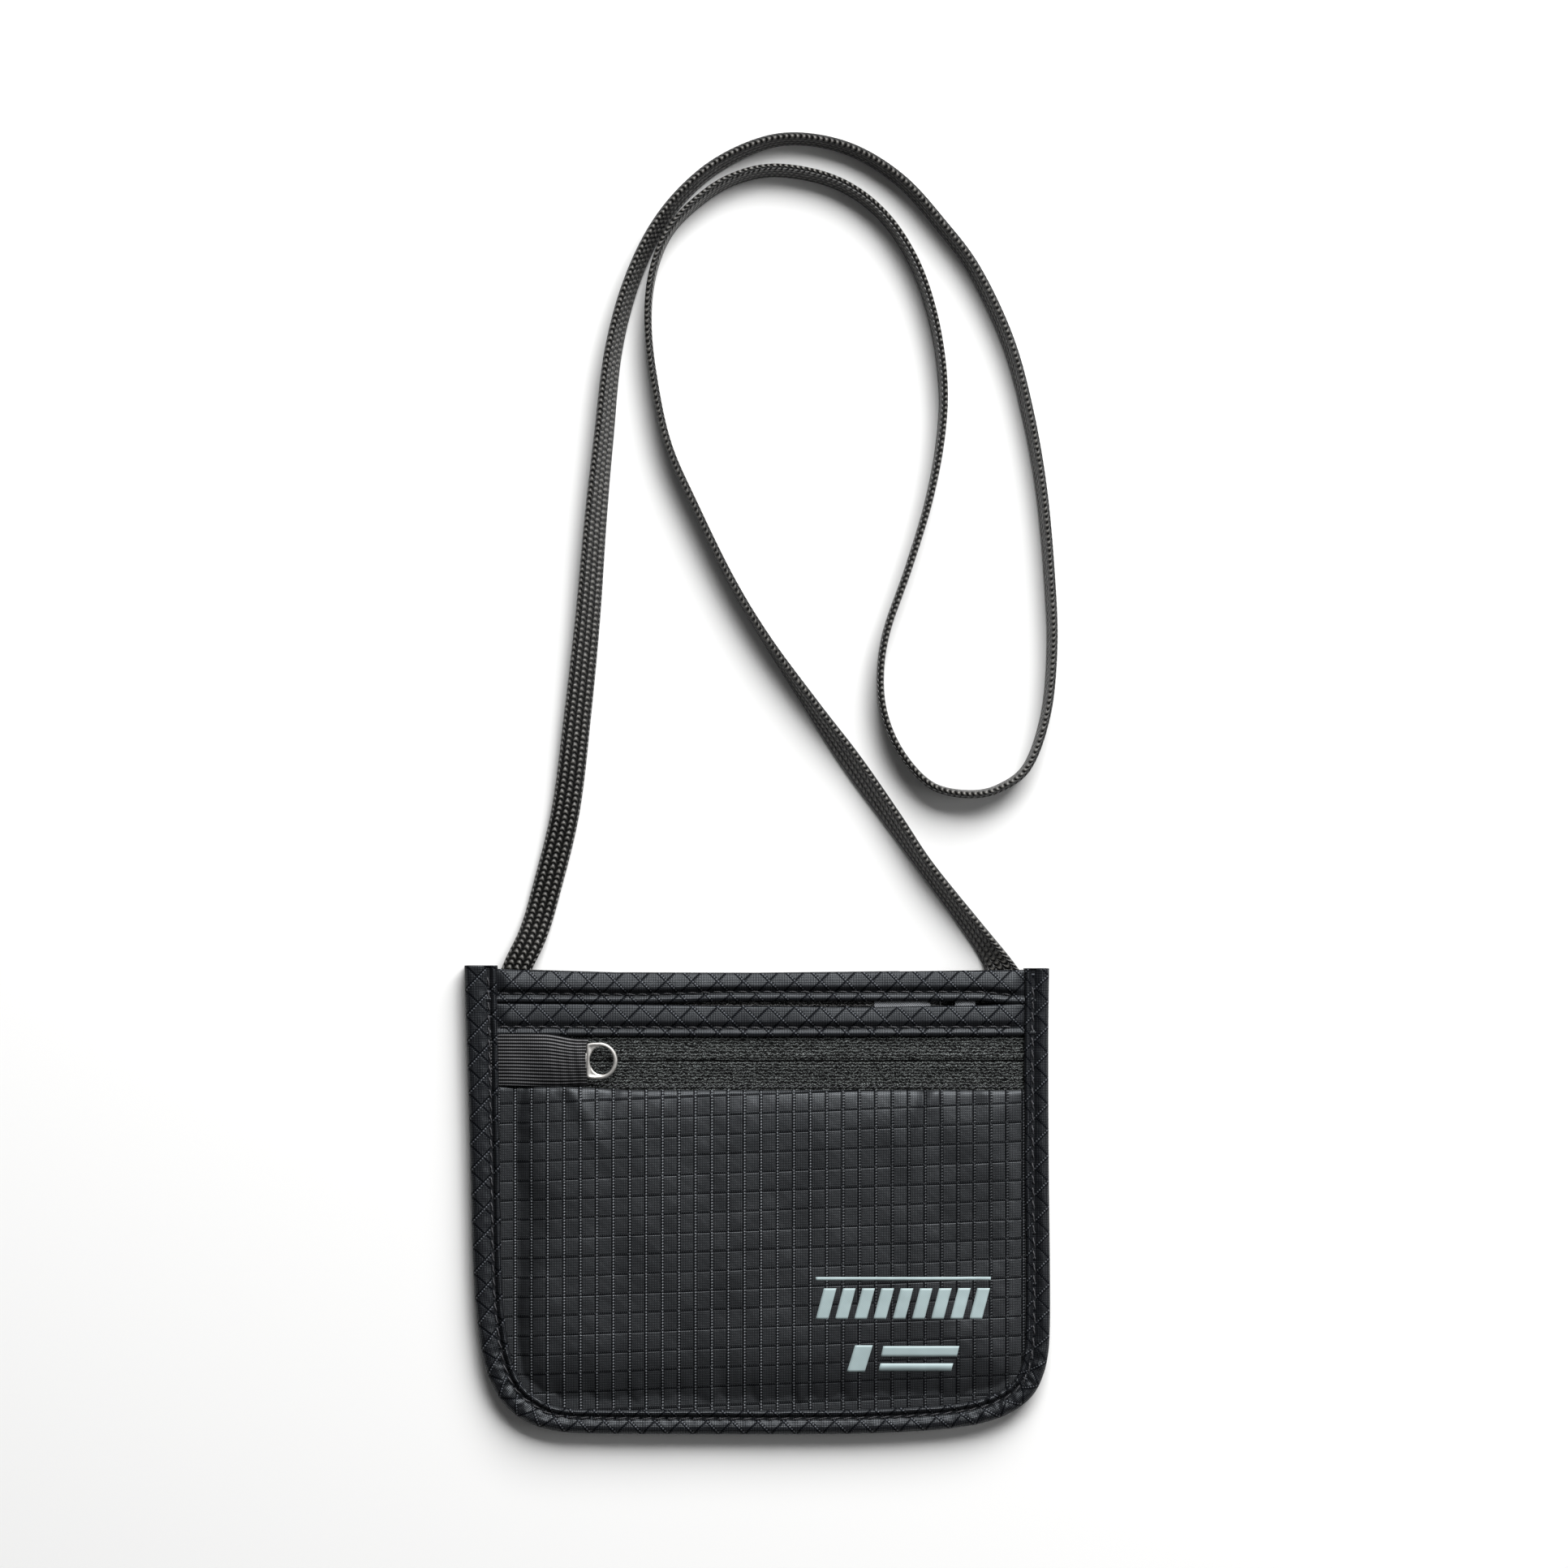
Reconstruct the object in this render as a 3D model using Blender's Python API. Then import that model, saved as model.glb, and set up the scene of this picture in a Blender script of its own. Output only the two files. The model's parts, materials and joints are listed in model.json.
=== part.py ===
"""Neck pouch wallet, lying flat on its back. Metres, +Z up out of its front, +Y towards the neck strap.

The origin is on the surface that the pouch lies on, under the middle of the pouch without its strap.
Each sheet of cloth is a thin solid of its own, stacked with a small gap, so the pockets stay open.
"""

import math

import bmesh
import bpy
from mathutils import Matrix, Vector

MM = 0.001
GAP = 0.3

# Driving dimensions, in millimetres. The pouch spans 145 across and 116 from hem to bottom.
HALF_WIDTH = 72.5
HALF_HEIGHT = 58.0
SHEET = 0.25
FOIL = 0.15
FOLDED = 0.3
FLANGE = 0.45

# The underside of each layer, from the back of the pouch to its front.
BACK_Z = FLANGE + GAP
LINING_Z = BACK_Z + SHEET + GAP
DIVIDER_Z = LINING_Z + FOIL + GAP
SLIDER_UNDER_Z = DIVIDER_Z + SHEET + GAP
SLIDER_UNDER_THICK = 0.35
COIL_Z = SLIDER_UNDER_Z + SLIDER_UNDER_THICK + GAP
COIL_THICK = 0.6
TAPE_Z = COIL_Z + COIL_THICK + GAP
FRONT_FOIL_Z = TAPE_Z + 0.1
LABEL_Z = TAPE_Z - 0.45
FRONT_Z = TAPE_Z + SHEET + GAP
BINDING_TOP_Z = FRONT_Z + FOLDED + GAP + FLANGE
PANEL_CROWN = 1.2

# The pouch's outline, from the top left corner down, along the bottom and up to the top right corner.
OUTLINE = [
    (-HALF_WIDTH, HALF_HEIGHT), (-72.1, 44.0), (-71.5, 26.0), (-70.9, 3.0), (-70.3, -17.0),
    (-69.3, -30.0), (-67.3, -41.5), (-63.6, -49.3), (-58.4, -54.2), (-51.0, -57.0),
    (-41.0, -57.8), (-18.0, -57.98), (6.0, -HALF_HEIGHT), (26.0, -57.8), (43.0, -57.0),
    (55.5, -55.3), (63.6, -52.2), (68.6, -47.9), (71.4, -41.5), (72.4, -33.5),
    (HALF_WIDTH, -18.0), (72.2, 10.0), (72.1, 40.0), (72.3, 57.3),
]
OUTLINE_STATIONS = 64
BINDING_WALL = 0.45
PANEL_INSET = BINDING_WALL + GAP
BINDING_WIDTH_LEFT_TOP = 8.1
BINDING_WIDTH_LEFT_LOW = 6.7
BINDING_WIDTH = 6.1
BINDING_STITCH_INSET = 2.2

# Edges of the strips across the top of the pouch, as heights at a few places along X.
TOP_EDGE = [(-73.0, 57.6), (-58.0, 57.0), (-35.0, 56.3), (0.0, 56.2), (35.0, 56.6), (73.0, 57.1)]
HEM_LOW_EDGE = [(-73.0, 49.3), (-20.0, 48.9), (30.0, 48.9), (73.0, 48.9)]
BAND_TOP_EDGE = [(-73.0, 48.6), (-20.0, 48.2), (30.0, 47.8), (73.0, 48.5)]
BAND_LOW_EDGE = [(-73.0, 40.6), (0.0, 40.3), (73.0, 40.6)]
PANEL_TOP_EDGE = [(-73.0, 28.4), (-42.0, 28.0), (-32.0, 27.3), (73.0, 27.3)]
LINING_TOP = 53.0
LABEL_LEFT = 29.0
LABEL_RIGHT = 45.5
LABEL_LOW = 44.5
LABEL_TOP = 52.5
SEAM_LEFT = -64.0
SEAM_RIGHT = 65.8
SEAM_UP = 2.2
THREAD_HALF = 0.25
THREAD_THICK = 0.2
FOLD_SEAM_LEFT = -43.5
FOLD_SEAM_UP = 0.9
DIVIDER_TOP = 46.5
BACK_FOIL_TOP = 43.8

# The zip: its chain runs along X, with the coils behind the tapes.
ZIP_Y = 34.4
ZIP_HALF_SLOT = 0.45
TAPE_OUTER_UP = 43.2
TAPE_OUTER_DOWN = 25.6
COIL_WIDTH = 1.2
COIL_LEFT = -61.0
COIL_RIGHT = 62.5

# The slider lies at the closed, left end of the zip, and its pull lies flat, pointing right.
SLIDER_LEFT = -53.4
SLIDER_RIGHT = -42.4
SLIDER_HALF = 3.6
SLIDER_UNDER_HALF = 2.9
SLIDER_PLATE = 0.55
SLIDER_CORNER = 1.6
SLIDER_UNDER_CORNER = 1.2
WEDGE_LEFT = -52.2
WEDGE_RIGHT = -49.8
WEDGE_HALF = 0.15
RAIL_LEFT = -51.6
RAIL_RIGHT = -45.2
RAIL_OUT = 2.35
RAIL_HALF = 0.3
OVERLAP = 0.1
SLIDER_TRAVEL = 98.0
STOP_LEFT = -57.0
STOP_LENGTH = 2.0
PIVOT_X = -43.1
PIVOT_Z = 6.05
BAR_RADIUS = 0.27
ROOT_BORE = 0.42
ROOT_RADIUS = 0.75
ROOT_HALF = 2.0
NECK_INSET = 0.05
NECK_OVERLAP = 0.3
CUT_PAST = 1.0
EAR_THICK = 0.8
EAR_LEFT = PIVOT_X - 0.55
EAR_RIGHT = PIVOT_X + 0.5
EAR_TOP = PIVOT_Z + 0.6
RING_Y = 34.5
RING_CENTRE_X = -39.1
RING_RADIUS = 4.6
RING_THICK = 1.0
RING_LEFT = -42.2
RING_LEFT_HALF = 3.8
RING_ARC_HALF_TURN = 103.6
EYE_X = -38.5
EYE_Y = RING_Y + 0.1
EYE_HALF_X = 2.9
EYE_HALF_Y = 3.5

# The neck strap: a flat braid whose two ends are sewn in between the back panel and the top hem.
STRAP_WIDTH = 7.1
STRAP_THICK = 1.75
STRAP_POINTS = 79
SEAM_Z = 2.7
LIFT_START_Y = 74.0
LIFT_RUN = 15.0
# Points chosen by hand along the strap: X, Y, and the roll in degrees, 0 lying flat and 90 standing on edge.
STRAP_ROUTE = [
    (-60.5, 55.0, 0), (-58.8, 59.0, 0), (-55.5, 66.0, 0), (-52.5, 76.0, 2), (-47.5, 96.5, 10), (-44.5, 120.5, 22),
    (-42.0, 144.5, 34), (-40.0, 169.0, 46), (-38.0, 189.0, 55), (-35.5, 211.0, 62), (-30.5, 229.0, 66),
    (-23.0, 243.5, 70), (-12.5, 254.5, 73), (-0.5, 261.0, 76), (10.5, 262.8, 78), (23.5, 260.0, 78),
    (35.5, 252.5, 77), (45.5, 241.5, 76), (54.0, 230.0, 75), (62.0, 213.0, 75), (67.0, 195.0, 77),
    (70.5, 175.0, 79), (72.5, 152.5, 80), (73.0, 136.5, 81), (71.5, 120.5, 83), (67.0, 107.5, 85),
    (60.0, 102.0, 86), (52.5, 100.5, 86), (43.5, 102.5, 88), (36.5, 109.5, 89), (32.0, 118.5, 90),
    (30.5, 128.5, 90), (32.0, 140.5, 91), (37.5, 156.5, 91), (42.5, 173.0, 92), (45.5, 189.0, 94),
    (46.0, 203.0, 96), (43.5, 219.0, 98), (38.5, 233.0, 100), (30.5, 244.5, 101), (19.5, 252.0, 103),
    (5.5, 255.0, 104), (-5.5, 253.0, 102), (-14.5, 247.5, 99), (-22.0, 239.5, 95), (-26.0, 229.0, 92),
    (-27.0, 217.0, 90), (-25.5, 203.0, 90), (-22.0, 187.0, 89), (-15.5, 172.0, 88), (-6.5, 153.5, 86),
    (2.5, 138.5, 83), (13.5, 122.5, 68), (23.5, 108.5, 52), (33.5, 94.5, 58), (41.5, 83.0, 66),
    (51.5, 70.0, 58), (57.5, 62.0, 44), (61.0, 56.5, 12), (62.0, 55.0, 0),
]

COLOURS = {
    "ripstop": ((0.022, 0.023, 0.029), 0.55, 0.0),
    "binding": ((0.030, 0.031, 0.039), 0.6, 0.0),
    "lining": ((0.012, 0.012, 0.014), 0.9, 0.0),
    "foil": ((0.35, 0.36, 0.38), 0.4, 0.6),
    "tape": ((0.030, 0.033, 0.033), 0.85, 0.0),
    "coil": ((0.015, 0.015, 0.017), 0.4, 0.0),
    "ribbon": ((0.016, 0.016, 0.019), 0.7, 0.0),
    "thread": ((0.030, 0.030, 0.036), 0.7, 0.0),
    "label": ((0.14, 0.15, 0.17), 0.7, 0.0),
    "braid": ((0.018, 0.017, 0.016), 0.8, 0.0),
    "painted": ((0.02, 0.02, 0.022), 0.35, 0.5),
    "nickel": ((0.62, 0.62, 0.60), 0.3, 1.0),
}


def clear_scene():
    for item in list(bpy.data.objects):
        bpy.data.objects.remove(item)


def material(name):
    found = bpy.data.materials.get(name)
    if found:
        return found
    colour, roughness, metallic = COLOURS[name]
    made = bpy.data.materials.new(name)
    made.use_nodes = True
    shader = made.node_tree.nodes["Principled BSDF"]
    shader.inputs["Base Color"].default_value = (*colour, 1.0)
    shader.inputs["Roughness"].default_value = roughness
    shader.inputs["Metallic"].default_value = metallic
    return made


def add_object(name, data, material_name):
    made = bpy.data.objects.new(name, data)
    bpy.context.scene.collection.objects.link(made)
    data.materials.append(material(material_name))
    return made


def mesh_object(name, vertices, faces, material_name):
    """A closed mesh from points in millimetres, with its faces turned out."""
    mesh = bpy.data.meshes.new(name)
    mesh.from_pydata([Vector(v) * MM for v in vertices], [], faces)
    shape = bmesh.new()
    shape.from_mesh(mesh)
    bmesh.ops.recalc_face_normals(shape, faces=shape.faces)
    shape.to_mesh(mesh)
    shape.free()
    return add_object(name, mesh, material_name)


def smooth_through(points, count):
    """Evenly spaced points on a smooth curve through the given ones, of any number of coordinates."""
    padded = [points[0]] + list(points) + [points[-1]]
    fine = []
    for a, b, c, d in zip(padded, padded[1:], padded[2:], padded[3:]):
        for step in range(16):
            t = step / 16
            fine.append(tuple(
                0.5 * (2 * q + (r - p) * t + (2 * p - 5 * q + 4 * r - s) * t * t + (3 * q - p - 3 * r + s) * t ** 3)
                for p, q, r, s in zip(a, b, c, d)))
    fine.append(tuple(points[-1]))
    lengths = [0.0]
    for a, b in zip(fine, fine[1:]):
        lengths.append(lengths[-1] + math.dist(a[:2], b[:2]))
    spaced = []
    index = 0
    for k in range(count):
        want = lengths[-1] * k / (count - 1)
        while index < len(fine) - 2 and lengths[index + 1] < want:
            index += 1
        share = (want - lengths[index]) / (lengths[index + 1] - lengths[index])
        spaced.append(tuple(p + (q - p) * share for p, q in zip(fine[index], fine[index + 1])))
    return spaced


def height_on(edge, x):
    """The height of an edge, given as points along X, at one place."""
    for (x0, y0), (x1, y1) in zip(edge, edge[1:]):
        if x <= x1:
            return y0 + (y1 - y0) * (x - x0) / (x1 - x0)
    return edge[-1][1]


def inward(points):
    """The unit normal of an open path at each point, on the left of its direction."""
    normals = []
    for k, _ in enumerate(points):
        before = points[max(k - 1, 0)]
        after = points[min(k + 1, len(points) - 1)]
        run = math.dist(before, after)
        normals.append((-(after[1] - before[1]) / run, (after[0] - before[0]) / run))
    return normals


EDGE = smooth_through(OUTLINE, OUTLINE_STATIONS)
EDGE_NORMALS = inward(EDGE)


def inset_edge(distance):
    return [
        (x + nx * distance, y + ny * distance)
        for (x, y), (nx, ny) in zip(EDGE, EDGE_NORMALS)
    ]


def side_x(side, y, distance=PANEL_INSET):
    """Where the inset outline has height y, on its left (-1) or right (1) side."""
    path = inset_edge(distance)
    if side > 0:
        path = path[::-1]
    for (x0, y0), (x1, y1) in zip(path, path[1:]):
        if y1 <= y <= y0:
            return x0 + (x1 - x0) * (y0 - y) / (y0 - y1)
    return path[0][0]


def across(edge, low_x, high_x):
    """An edge's points from left to right, between two ends."""
    inside = [p for p in edge if low_x + 1 < p[0] < high_x - 1]
    return [(low_x, height_on(edge, low_x)), *inside, (high_x, height_on(edge, high_x))]


def panel_outline(top_edge):
    """The pouch's inset outline, below a top edge that runs across it."""
    left_y = height_on(top_edge, -HALF_WIDTH)
    right_y = height_on(top_edge, HALF_WIDTH)
    low_x = side_x(-1, left_y)
    high_x = side_x(1, right_y)
    rim = [p for p in inset_edge(PANEL_INSET) if p[1] < min(left_y, right_y) - 1]
    top = across(top_edge, low_x, high_x)
    return rim + top[::-1]


def strip_outline(low_edge, top_edge):
    """A strip across the pouch, from one side of the binding's inside to the other."""
    bottom = across(low_edge, side_x(-1, low_edge[0][1]), side_x(1, low_edge[-1][1]))
    top = across(top_edge, side_x(-1, top_edge[0][1]), side_x(1, top_edge[-1][1]))
    return bottom + top[::-1]


def level(y):
    return [(-73.0, y), (73.0, y)]


def plate(name, outline, low_z, high_z, material_name):
    """A flat sheet: its outline is given anticlockwise."""
    count = len(outline)
    vertices = [(x, y, low_z) for x, y in outline] + [(x, y, high_z) for x, y in outline]
    faces = [tuple(range(count))[::-1], tuple(range(count, 2 * count))]
    faces += [(k, (k + 1) % count, (k + 1) % count + count, k + count) for k in range(count)]
    return mesh_object(name, vertices, faces, material_name)


def box(name, low, high, material_name):
    (x0, y0, z0), (x1, y1, z1) = low, high
    return plate(name, [(x0, y0), (x1, y0), (x1, y1), (x0, y1)], z0, z1, material_name)


def pillow(name, outline, low_z, high_z, crown, material_name):
    """A sheet that rises towards its middle, and is flat where the binding holds its rim."""
    centre_x = 0.0
    centre_y = -14.0
    scales = [1.0, 0.84, 0.74, 0.6, 0.42, 0.22]
    count = len(outline)
    vertices = []
    for base in (low_z, high_z):
        for scale in scales:
            share = (1 - scale) / (1 - scales[1])
            rise = 0.0 if share <= 1 else crown * math.sin(math.pi / 2 * (scales[1] - scale) / scales[1])
            for x, y in outline:
                point = (centre_x + (x - centre_x) * scale, centre_y + (y - centre_y) * scale, base + rise)
                vertices.append(point)
        vertices.append((centre_x, centre_y, base + crown))
    side = len(scales) * count + 1
    faces = []
    for layer in range(2):
        start = layer * side
        for ring in range(len(scales) - 1):
            a = start + ring * count
            b = a + count
            faces += [(a + k, a + (k + 1) % count, b + (k + 1) % count, b + k) for k in range(count)]
        last = start + (len(scales) - 1) * count
        faces += [(last + k, last + (k + 1) % count, start + side - 1) for k in range(count)]
    faces += [(k, (k + 1) % count, side + (k + 1) % count, side + k) for k in range(count)]
    return mesh_object(name, vertices, faces, material_name)


def sweep(name, stations, material_name):
    """A closed solid through matching rings of points."""
    count = len(stations[0])
    vertices = [p for ring in stations for p in ring]
    faces = [tuple(range(count)), tuple(range(len(vertices) - count, len(vertices)))]
    for row in range(len(stations) - 1):
        a = row * count
        b = a + count
        faces += [(a + k, a + (k + 1) % count, b + (k + 1) % count, b + k) for k in range(count)]
    return mesh_object(name, vertices, faces, material_name)


def binding_width(index):
    """The binding is widest at the top left, and narrows down that side."""
    y = EDGE[index][1]
    if EDGE[index][0] > -55.0:
        return BINDING_WIDTH
    share = (y + HALF_HEIGHT) / (2 * HALF_HEIGHT)
    return BINDING_WIDTH_LEFT_LOW + (BINDING_WIDTH_LEFT_TOP - BINDING_WIDTH_LEFT_LOW) * share


def build_edge_binding():
    """A strip folded round the pouch's edge: back flange, outer wall and front flange, open inward."""
    stations = []
    for index, ((x, y), (nx, ny)) in enumerate(zip(EDGE, EDGE_NORMALS)):
        width = binding_width(index)
        profile = [
            (0.4, 0.0), (width, 0.0), (width, FLANGE), (BINDING_WALL, FLANGE),
            (BINDING_WALL, BINDING_TOP_Z - FLANGE), (width, BINDING_TOP_Z - FLANGE),
            (width, BINDING_TOP_Z), (0.9, BINDING_TOP_Z), (0.0, BINDING_TOP_Z - 0.9), (0.0, 0.4),
        ]
        cut_level = index in (0, len(EDGE) - 1)
        stations.append([(x + nx * inset, y if cut_level else y + ny * inset, z) for inset, z in profile])
    return sweep("edge_binding", stations, "binding")


def thread_line(name, path, low_z):
    """A seam's thread, as one narrow strip along a path."""
    high_z = low_z + THREAD_THICK
    stations = []
    for (x, y), (nx, ny) in zip(path, inward(path)):
        dx = nx * THREAD_HALF
        dy = ny * THREAD_HALF
        stations.append([
            (x + dx, y + dy, low_z), (x - dx, y - dy, low_z), (x - dx, y - dy, high_z), (x + dx, y + dy, high_z),
        ])
    return sweep(name, stations, "thread")


def shifted(edge, up, low_x=SEAM_LEFT, high_x=SEAM_RIGHT):
    """A seam that runs beside an edge, between the binding's two sides."""
    return [(x, y + up) for x, y in across(edge, low_x, high_x)]


def put_origin(made, place):
    """Moves an object's origin, and leaves its shape where it is."""
    origin = Vector(place) * MM
    made.data.transform(Matrix.Translation(-origin))
    made.location = origin


def helper(made):
    """A shape that only cuts or joins another, and isn't part of the pouch."""
    made.hide_render = True
    made.display_type = "WIRE"
    return made


def join(target, tool, operation):
    modifier = target.modifiers.new(operation.title(), "BOOLEAN")
    modifier.operation = operation
    modifier.solver = "EXACT"
    modifier.object = helper(tool)


def rod_along_y(name, x, z, radius, low_y, high_y, material_name, sides=16):
    stations = []
    for y in (low_y, high_y):
        turns = [2 * math.pi * (k + 0.5) / sides for k in range(sides)]
        stations.append([(x + radius * math.cos(a), y, z + radius * math.sin(a)) for a in turns])
    return sweep(name, stations, material_name)


def build_panels():
    plate("back_panel", panel_outline(TOP_EDGE), BACK_Z, BACK_Z + SHEET, "ripstop")
    plate("back_shield_liner", panel_outline(level(BACK_FOIL_TOP)), LINING_Z, LINING_Z + FOIL, "foil")
    plate("slip_pocket_lining", strip_outline(level(BACK_FOIL_TOP + GAP), level(LINING_TOP)),
          LINING_Z, LINING_Z + FOIL, "lining")
    plate("divider_panel", panel_outline(level(DIVIDER_TOP)), DIVIDER_Z, DIVIDER_Z + SHEET, "lining")
    plate("front_shield_liner", panel_outline(level(TAPE_OUTER_DOWN - GAP)), FRONT_FOIL_Z, FRONT_FOIL_Z + FOIL, "foil")
    pillow("front_panel", panel_outline(PANEL_TOP_EDGE), FRONT_Z, FRONT_Z + FOLDED, PANEL_CROWN, "ripstop")
    plate("top_hem", strip_outline(HEM_LOW_EDGE, TOP_EDGE), FRONT_Z, FRONT_Z + FOLDED, "binding")
    plate("pocket_band", strip_outline(BAND_LOW_EDGE, BAND_TOP_EDGE), FRONT_Z, FRONT_Z + FOLDED, "binding")
    box("inner_label", (LABEL_LEFT, LABEL_LOW, LABEL_Z), (LABEL_RIGHT, LABEL_TOP, LABEL_Z + FOIL), "label")
    build_edge_binding()


def build_seams():
    above = FRONT_Z + FOLDED + GAP
    thread_line("hem_stitching", shifted(HEM_LOW_EDGE, SEAM_UP), above)
    thread_line("band_stitching", shifted(BAND_LOW_EDGE, SEAM_UP), above)
    thread_line("panel_fold_stitching", shifted(PANEL_TOP_EDGE, FOLD_SEAM_UP, FOLD_SEAM_LEFT), TAPE_Z + SHEET + GAP)
    path = []
    for k, ((x, y), (nx, ny)) in enumerate(zip(EDGE, EDGE_NORMALS)):
        inset = binding_width(k) - BINDING_STITCH_INSET
        path.append((x + nx * inset, y + ny * inset))
    thread_line("binding_stitching", path[1:-1], BINDING_TOP_Z + GAP)


def build_zip():
    upper = ZIP_Y + ZIP_HALF_SLOT
    lower = ZIP_Y - ZIP_HALF_SLOT
    plate("zip_tape_upper", strip_outline(level(upper), level(TAPE_OUTER_UP)), TAPE_Z, TAPE_Z + SHEET, "tape")
    plate("zip_tape_lower", strip_outline(level(TAPE_OUTER_DOWN), level(lower)), TAPE_Z, TAPE_Z + SHEET, "tape")
    top = COIL_Z + COIL_THICK
    box("zip_coil_upper", (COIL_LEFT, upper, COIL_Z), (COIL_RIGHT, upper + COIL_WIDTH, top), "coil")
    box("zip_coil_lower", (COIL_LEFT, lower - COIL_WIDTH, COIL_Z), (COIL_RIGHT, lower, top), "coil")
    stop_half = ZIP_HALF_SLOT + COIL_WIDTH
    stop_top = SLIDER_UNDER_Z + SLIDER_UNDER_THICK
    for name, left in (("zip_top_stop", STOP_LEFT), ("zip_bottom_stop", SLIDER_RIGHT + SLIDER_TRAVEL + GAP)):
        box(name, (left, ZIP_Y - stop_half, SLIDER_UNDER_Z), (left + STOP_LENGTH, ZIP_Y + stop_half, stop_top), "painted")


def build_zip_garage():
    """A ribbon from the left binding that covers the slider. Its free end stops at the pull's root."""
    low_z = FRONT_Z
    over_z = FRONT_Z + SLIDER_PLATE + GAP
    narrow = (BAND_LOW_EDGE[0][1] - GAP - 0.2, PANEL_TOP_EDGE[0][1] + GAP + 0.2)
    wide = (41.4, 28.1)
    profile = [
        (-70.2, low_z, narrow), (-63.0, low_z, narrow), (-61.4, low_z + 0.62, narrow), (-60.8, low_z + 0.66, wide),
        (-57.0, over_z, wide), (-50.0, over_z, wide), (PIVOT_X - 1.1, over_z, wide),
    ]
    stations = []
    for x, z, (high, low) in profile:
        stations.append([(x, high, z), (x, low, z), (x, low, z + SHEET), (x, high, z + SHEET)])
    sweep("zip_garage", stations, "ribbon")


def rounded_outline(low_x, high_x, half, corner, centre_y, steps=5):
    """A rectangle with round corners, anticlockwise."""
    corners = [
        (high_x - corner, centre_y - half + corner, -90), (high_x - corner, centre_y + half - corner, 0),
        (low_x + corner, centre_y + half - corner, 90), (low_x + corner, centre_y - half + corner, 180),
    ]
    points = []
    for x, y, start in corners:
        for step in range(steps + 1):
            angle = math.radians(start + 90 * step / steps)
            points.append((x + corner * math.cos(angle), y + corner * math.sin(angle)))
    return points


def build_slider():
    """Front plate, wedge between the tapes, back plate with two rails, and two ears with a cross bar."""
    top_z = FRONT_Z + SLIDER_PLATE
    under_top = SLIDER_UNDER_Z + SLIDER_UNDER_THICK
    front = rounded_outline(SLIDER_LEFT, SLIDER_RIGHT, SLIDER_HALF, SLIDER_CORNER, ZIP_Y)
    back = rounded_outline(SLIDER_LEFT + 0.6, SLIDER_RIGHT - 1.4, SLIDER_UNDER_HALF, SLIDER_UNDER_CORNER, ZIP_Y)
    body = plate("slider_body", front, FRONT_Z, top_z, "painted")
    wedge = box("tool_slider_wedge", (WEDGE_LEFT, ZIP_Y - WEDGE_HALF, SLIDER_UNDER_Z + OVERLAP),
                (WEDGE_RIGHT, ZIP_Y + WEDGE_HALF, FRONT_Z + 2 * OVERLAP), "painted")
    join(body, wedge, "UNION")
    join(body, plate("tool_slider_back", back, SLIDER_UNDER_Z, under_top, "painted"), "UNION")
    for side in (-1, 1):
        rail_y = ZIP_Y + side * RAIL_OUT
        rail = box(f"tool_slider_rail_{side + 1}", (RAIL_LEFT, rail_y - RAIL_HALF, under_top - OVERLAP),
                   (RAIL_RIGHT, rail_y + RAIL_HALF, TAPE_Z - GAP), "painted")
        inner = RING_Y + side * (ROOT_HALF + GAP)
        outer = inner + side * EAR_THICK
        ear = box(f"tool_slider_ear_{side + 1}", (EAR_LEFT, min(inner, outer), top_z - OVERLAP),
                  (EAR_RIGHT, max(inner, outer), EAR_TOP), "painted")
        join(body, rail, "UNION")
        join(body, ear, "UNION")
    bar_half = ROOT_HALF + GAP + EAR_THICK / 2
    bar = rod_along_y("tool_slider_bar", PIVOT_X, PIVOT_Z, BAR_RADIUS, RING_Y - bar_half, RING_Y + bar_half,
                      "painted", 10)
    join(body, bar, "UNION")
    put_origin(body, (SLIDER_RIGHT, ZIP_Y, top_z))


def ring_outline():
    """The pull's outside: a round end on the right, and straight sides that close in to its root."""
    points = []
    steps = 24
    for step in range(steps + 1):
        angle = math.radians(RING_ARC_HALF_TURN * (2 * step / steps - 1))
        points.append((RING_CENTRE_X + RING_RADIUS * math.cos(angle), RING_Y + RING_RADIUS * math.sin(angle)))
    return points + [(RING_LEFT, RING_Y + RING_LEFT_HALF), (RING_LEFT, RING_Y - RING_LEFT_HALF)]


def build_pull_ring():
    """A flat ring with a large eye and a bored root that turns on the slider's bar."""
    low_z = PIVOT_Z - RING_THICK / 2
    high_z = PIVOT_Z + RING_THICK / 2
    ring = plate("pull_ring", ring_outline(), low_z, high_z, "nickel")
    turns = [2 * math.pi * k / 32 for k in range(32)]
    eye_outline = [(EYE_X + EYE_HALF_X * math.cos(a), EYE_Y + EYE_HALF_Y * math.sin(a)) for a in turns]
    eye = plate("tool_ring_eye", eye_outline, low_z - CUT_PAST, high_z + CUT_PAST, "nickel")
    low_y = RING_Y - ROOT_HALF
    high_y = RING_Y + ROOT_HALF
    neck = box("tool_ring_neck", (PIVOT_X, low_y, low_z + NECK_INSET),
               (RING_LEFT + NECK_OVERLAP, high_y, high_z - NECK_INSET), "nickel")
    root = rod_along_y("tool_ring_root", PIVOT_X, PIVOT_Z, ROOT_RADIUS, low_y, high_y, "nickel")
    bore = rod_along_y("tool_ring_bore", PIVOT_X, PIVOT_Z, ROOT_BORE, low_y - CUT_PAST, high_y + CUT_PAST, "nickel", 12)
    join(ring, eye, "DIFFERENCE")
    join(ring, neck, "UNION")
    join(ring, root, "UNION")
    join(ring, bore, "DIFFERENCE")
    put_origin(ring, (PIVOT_X, RING_Y, PIVOT_Z))


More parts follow.
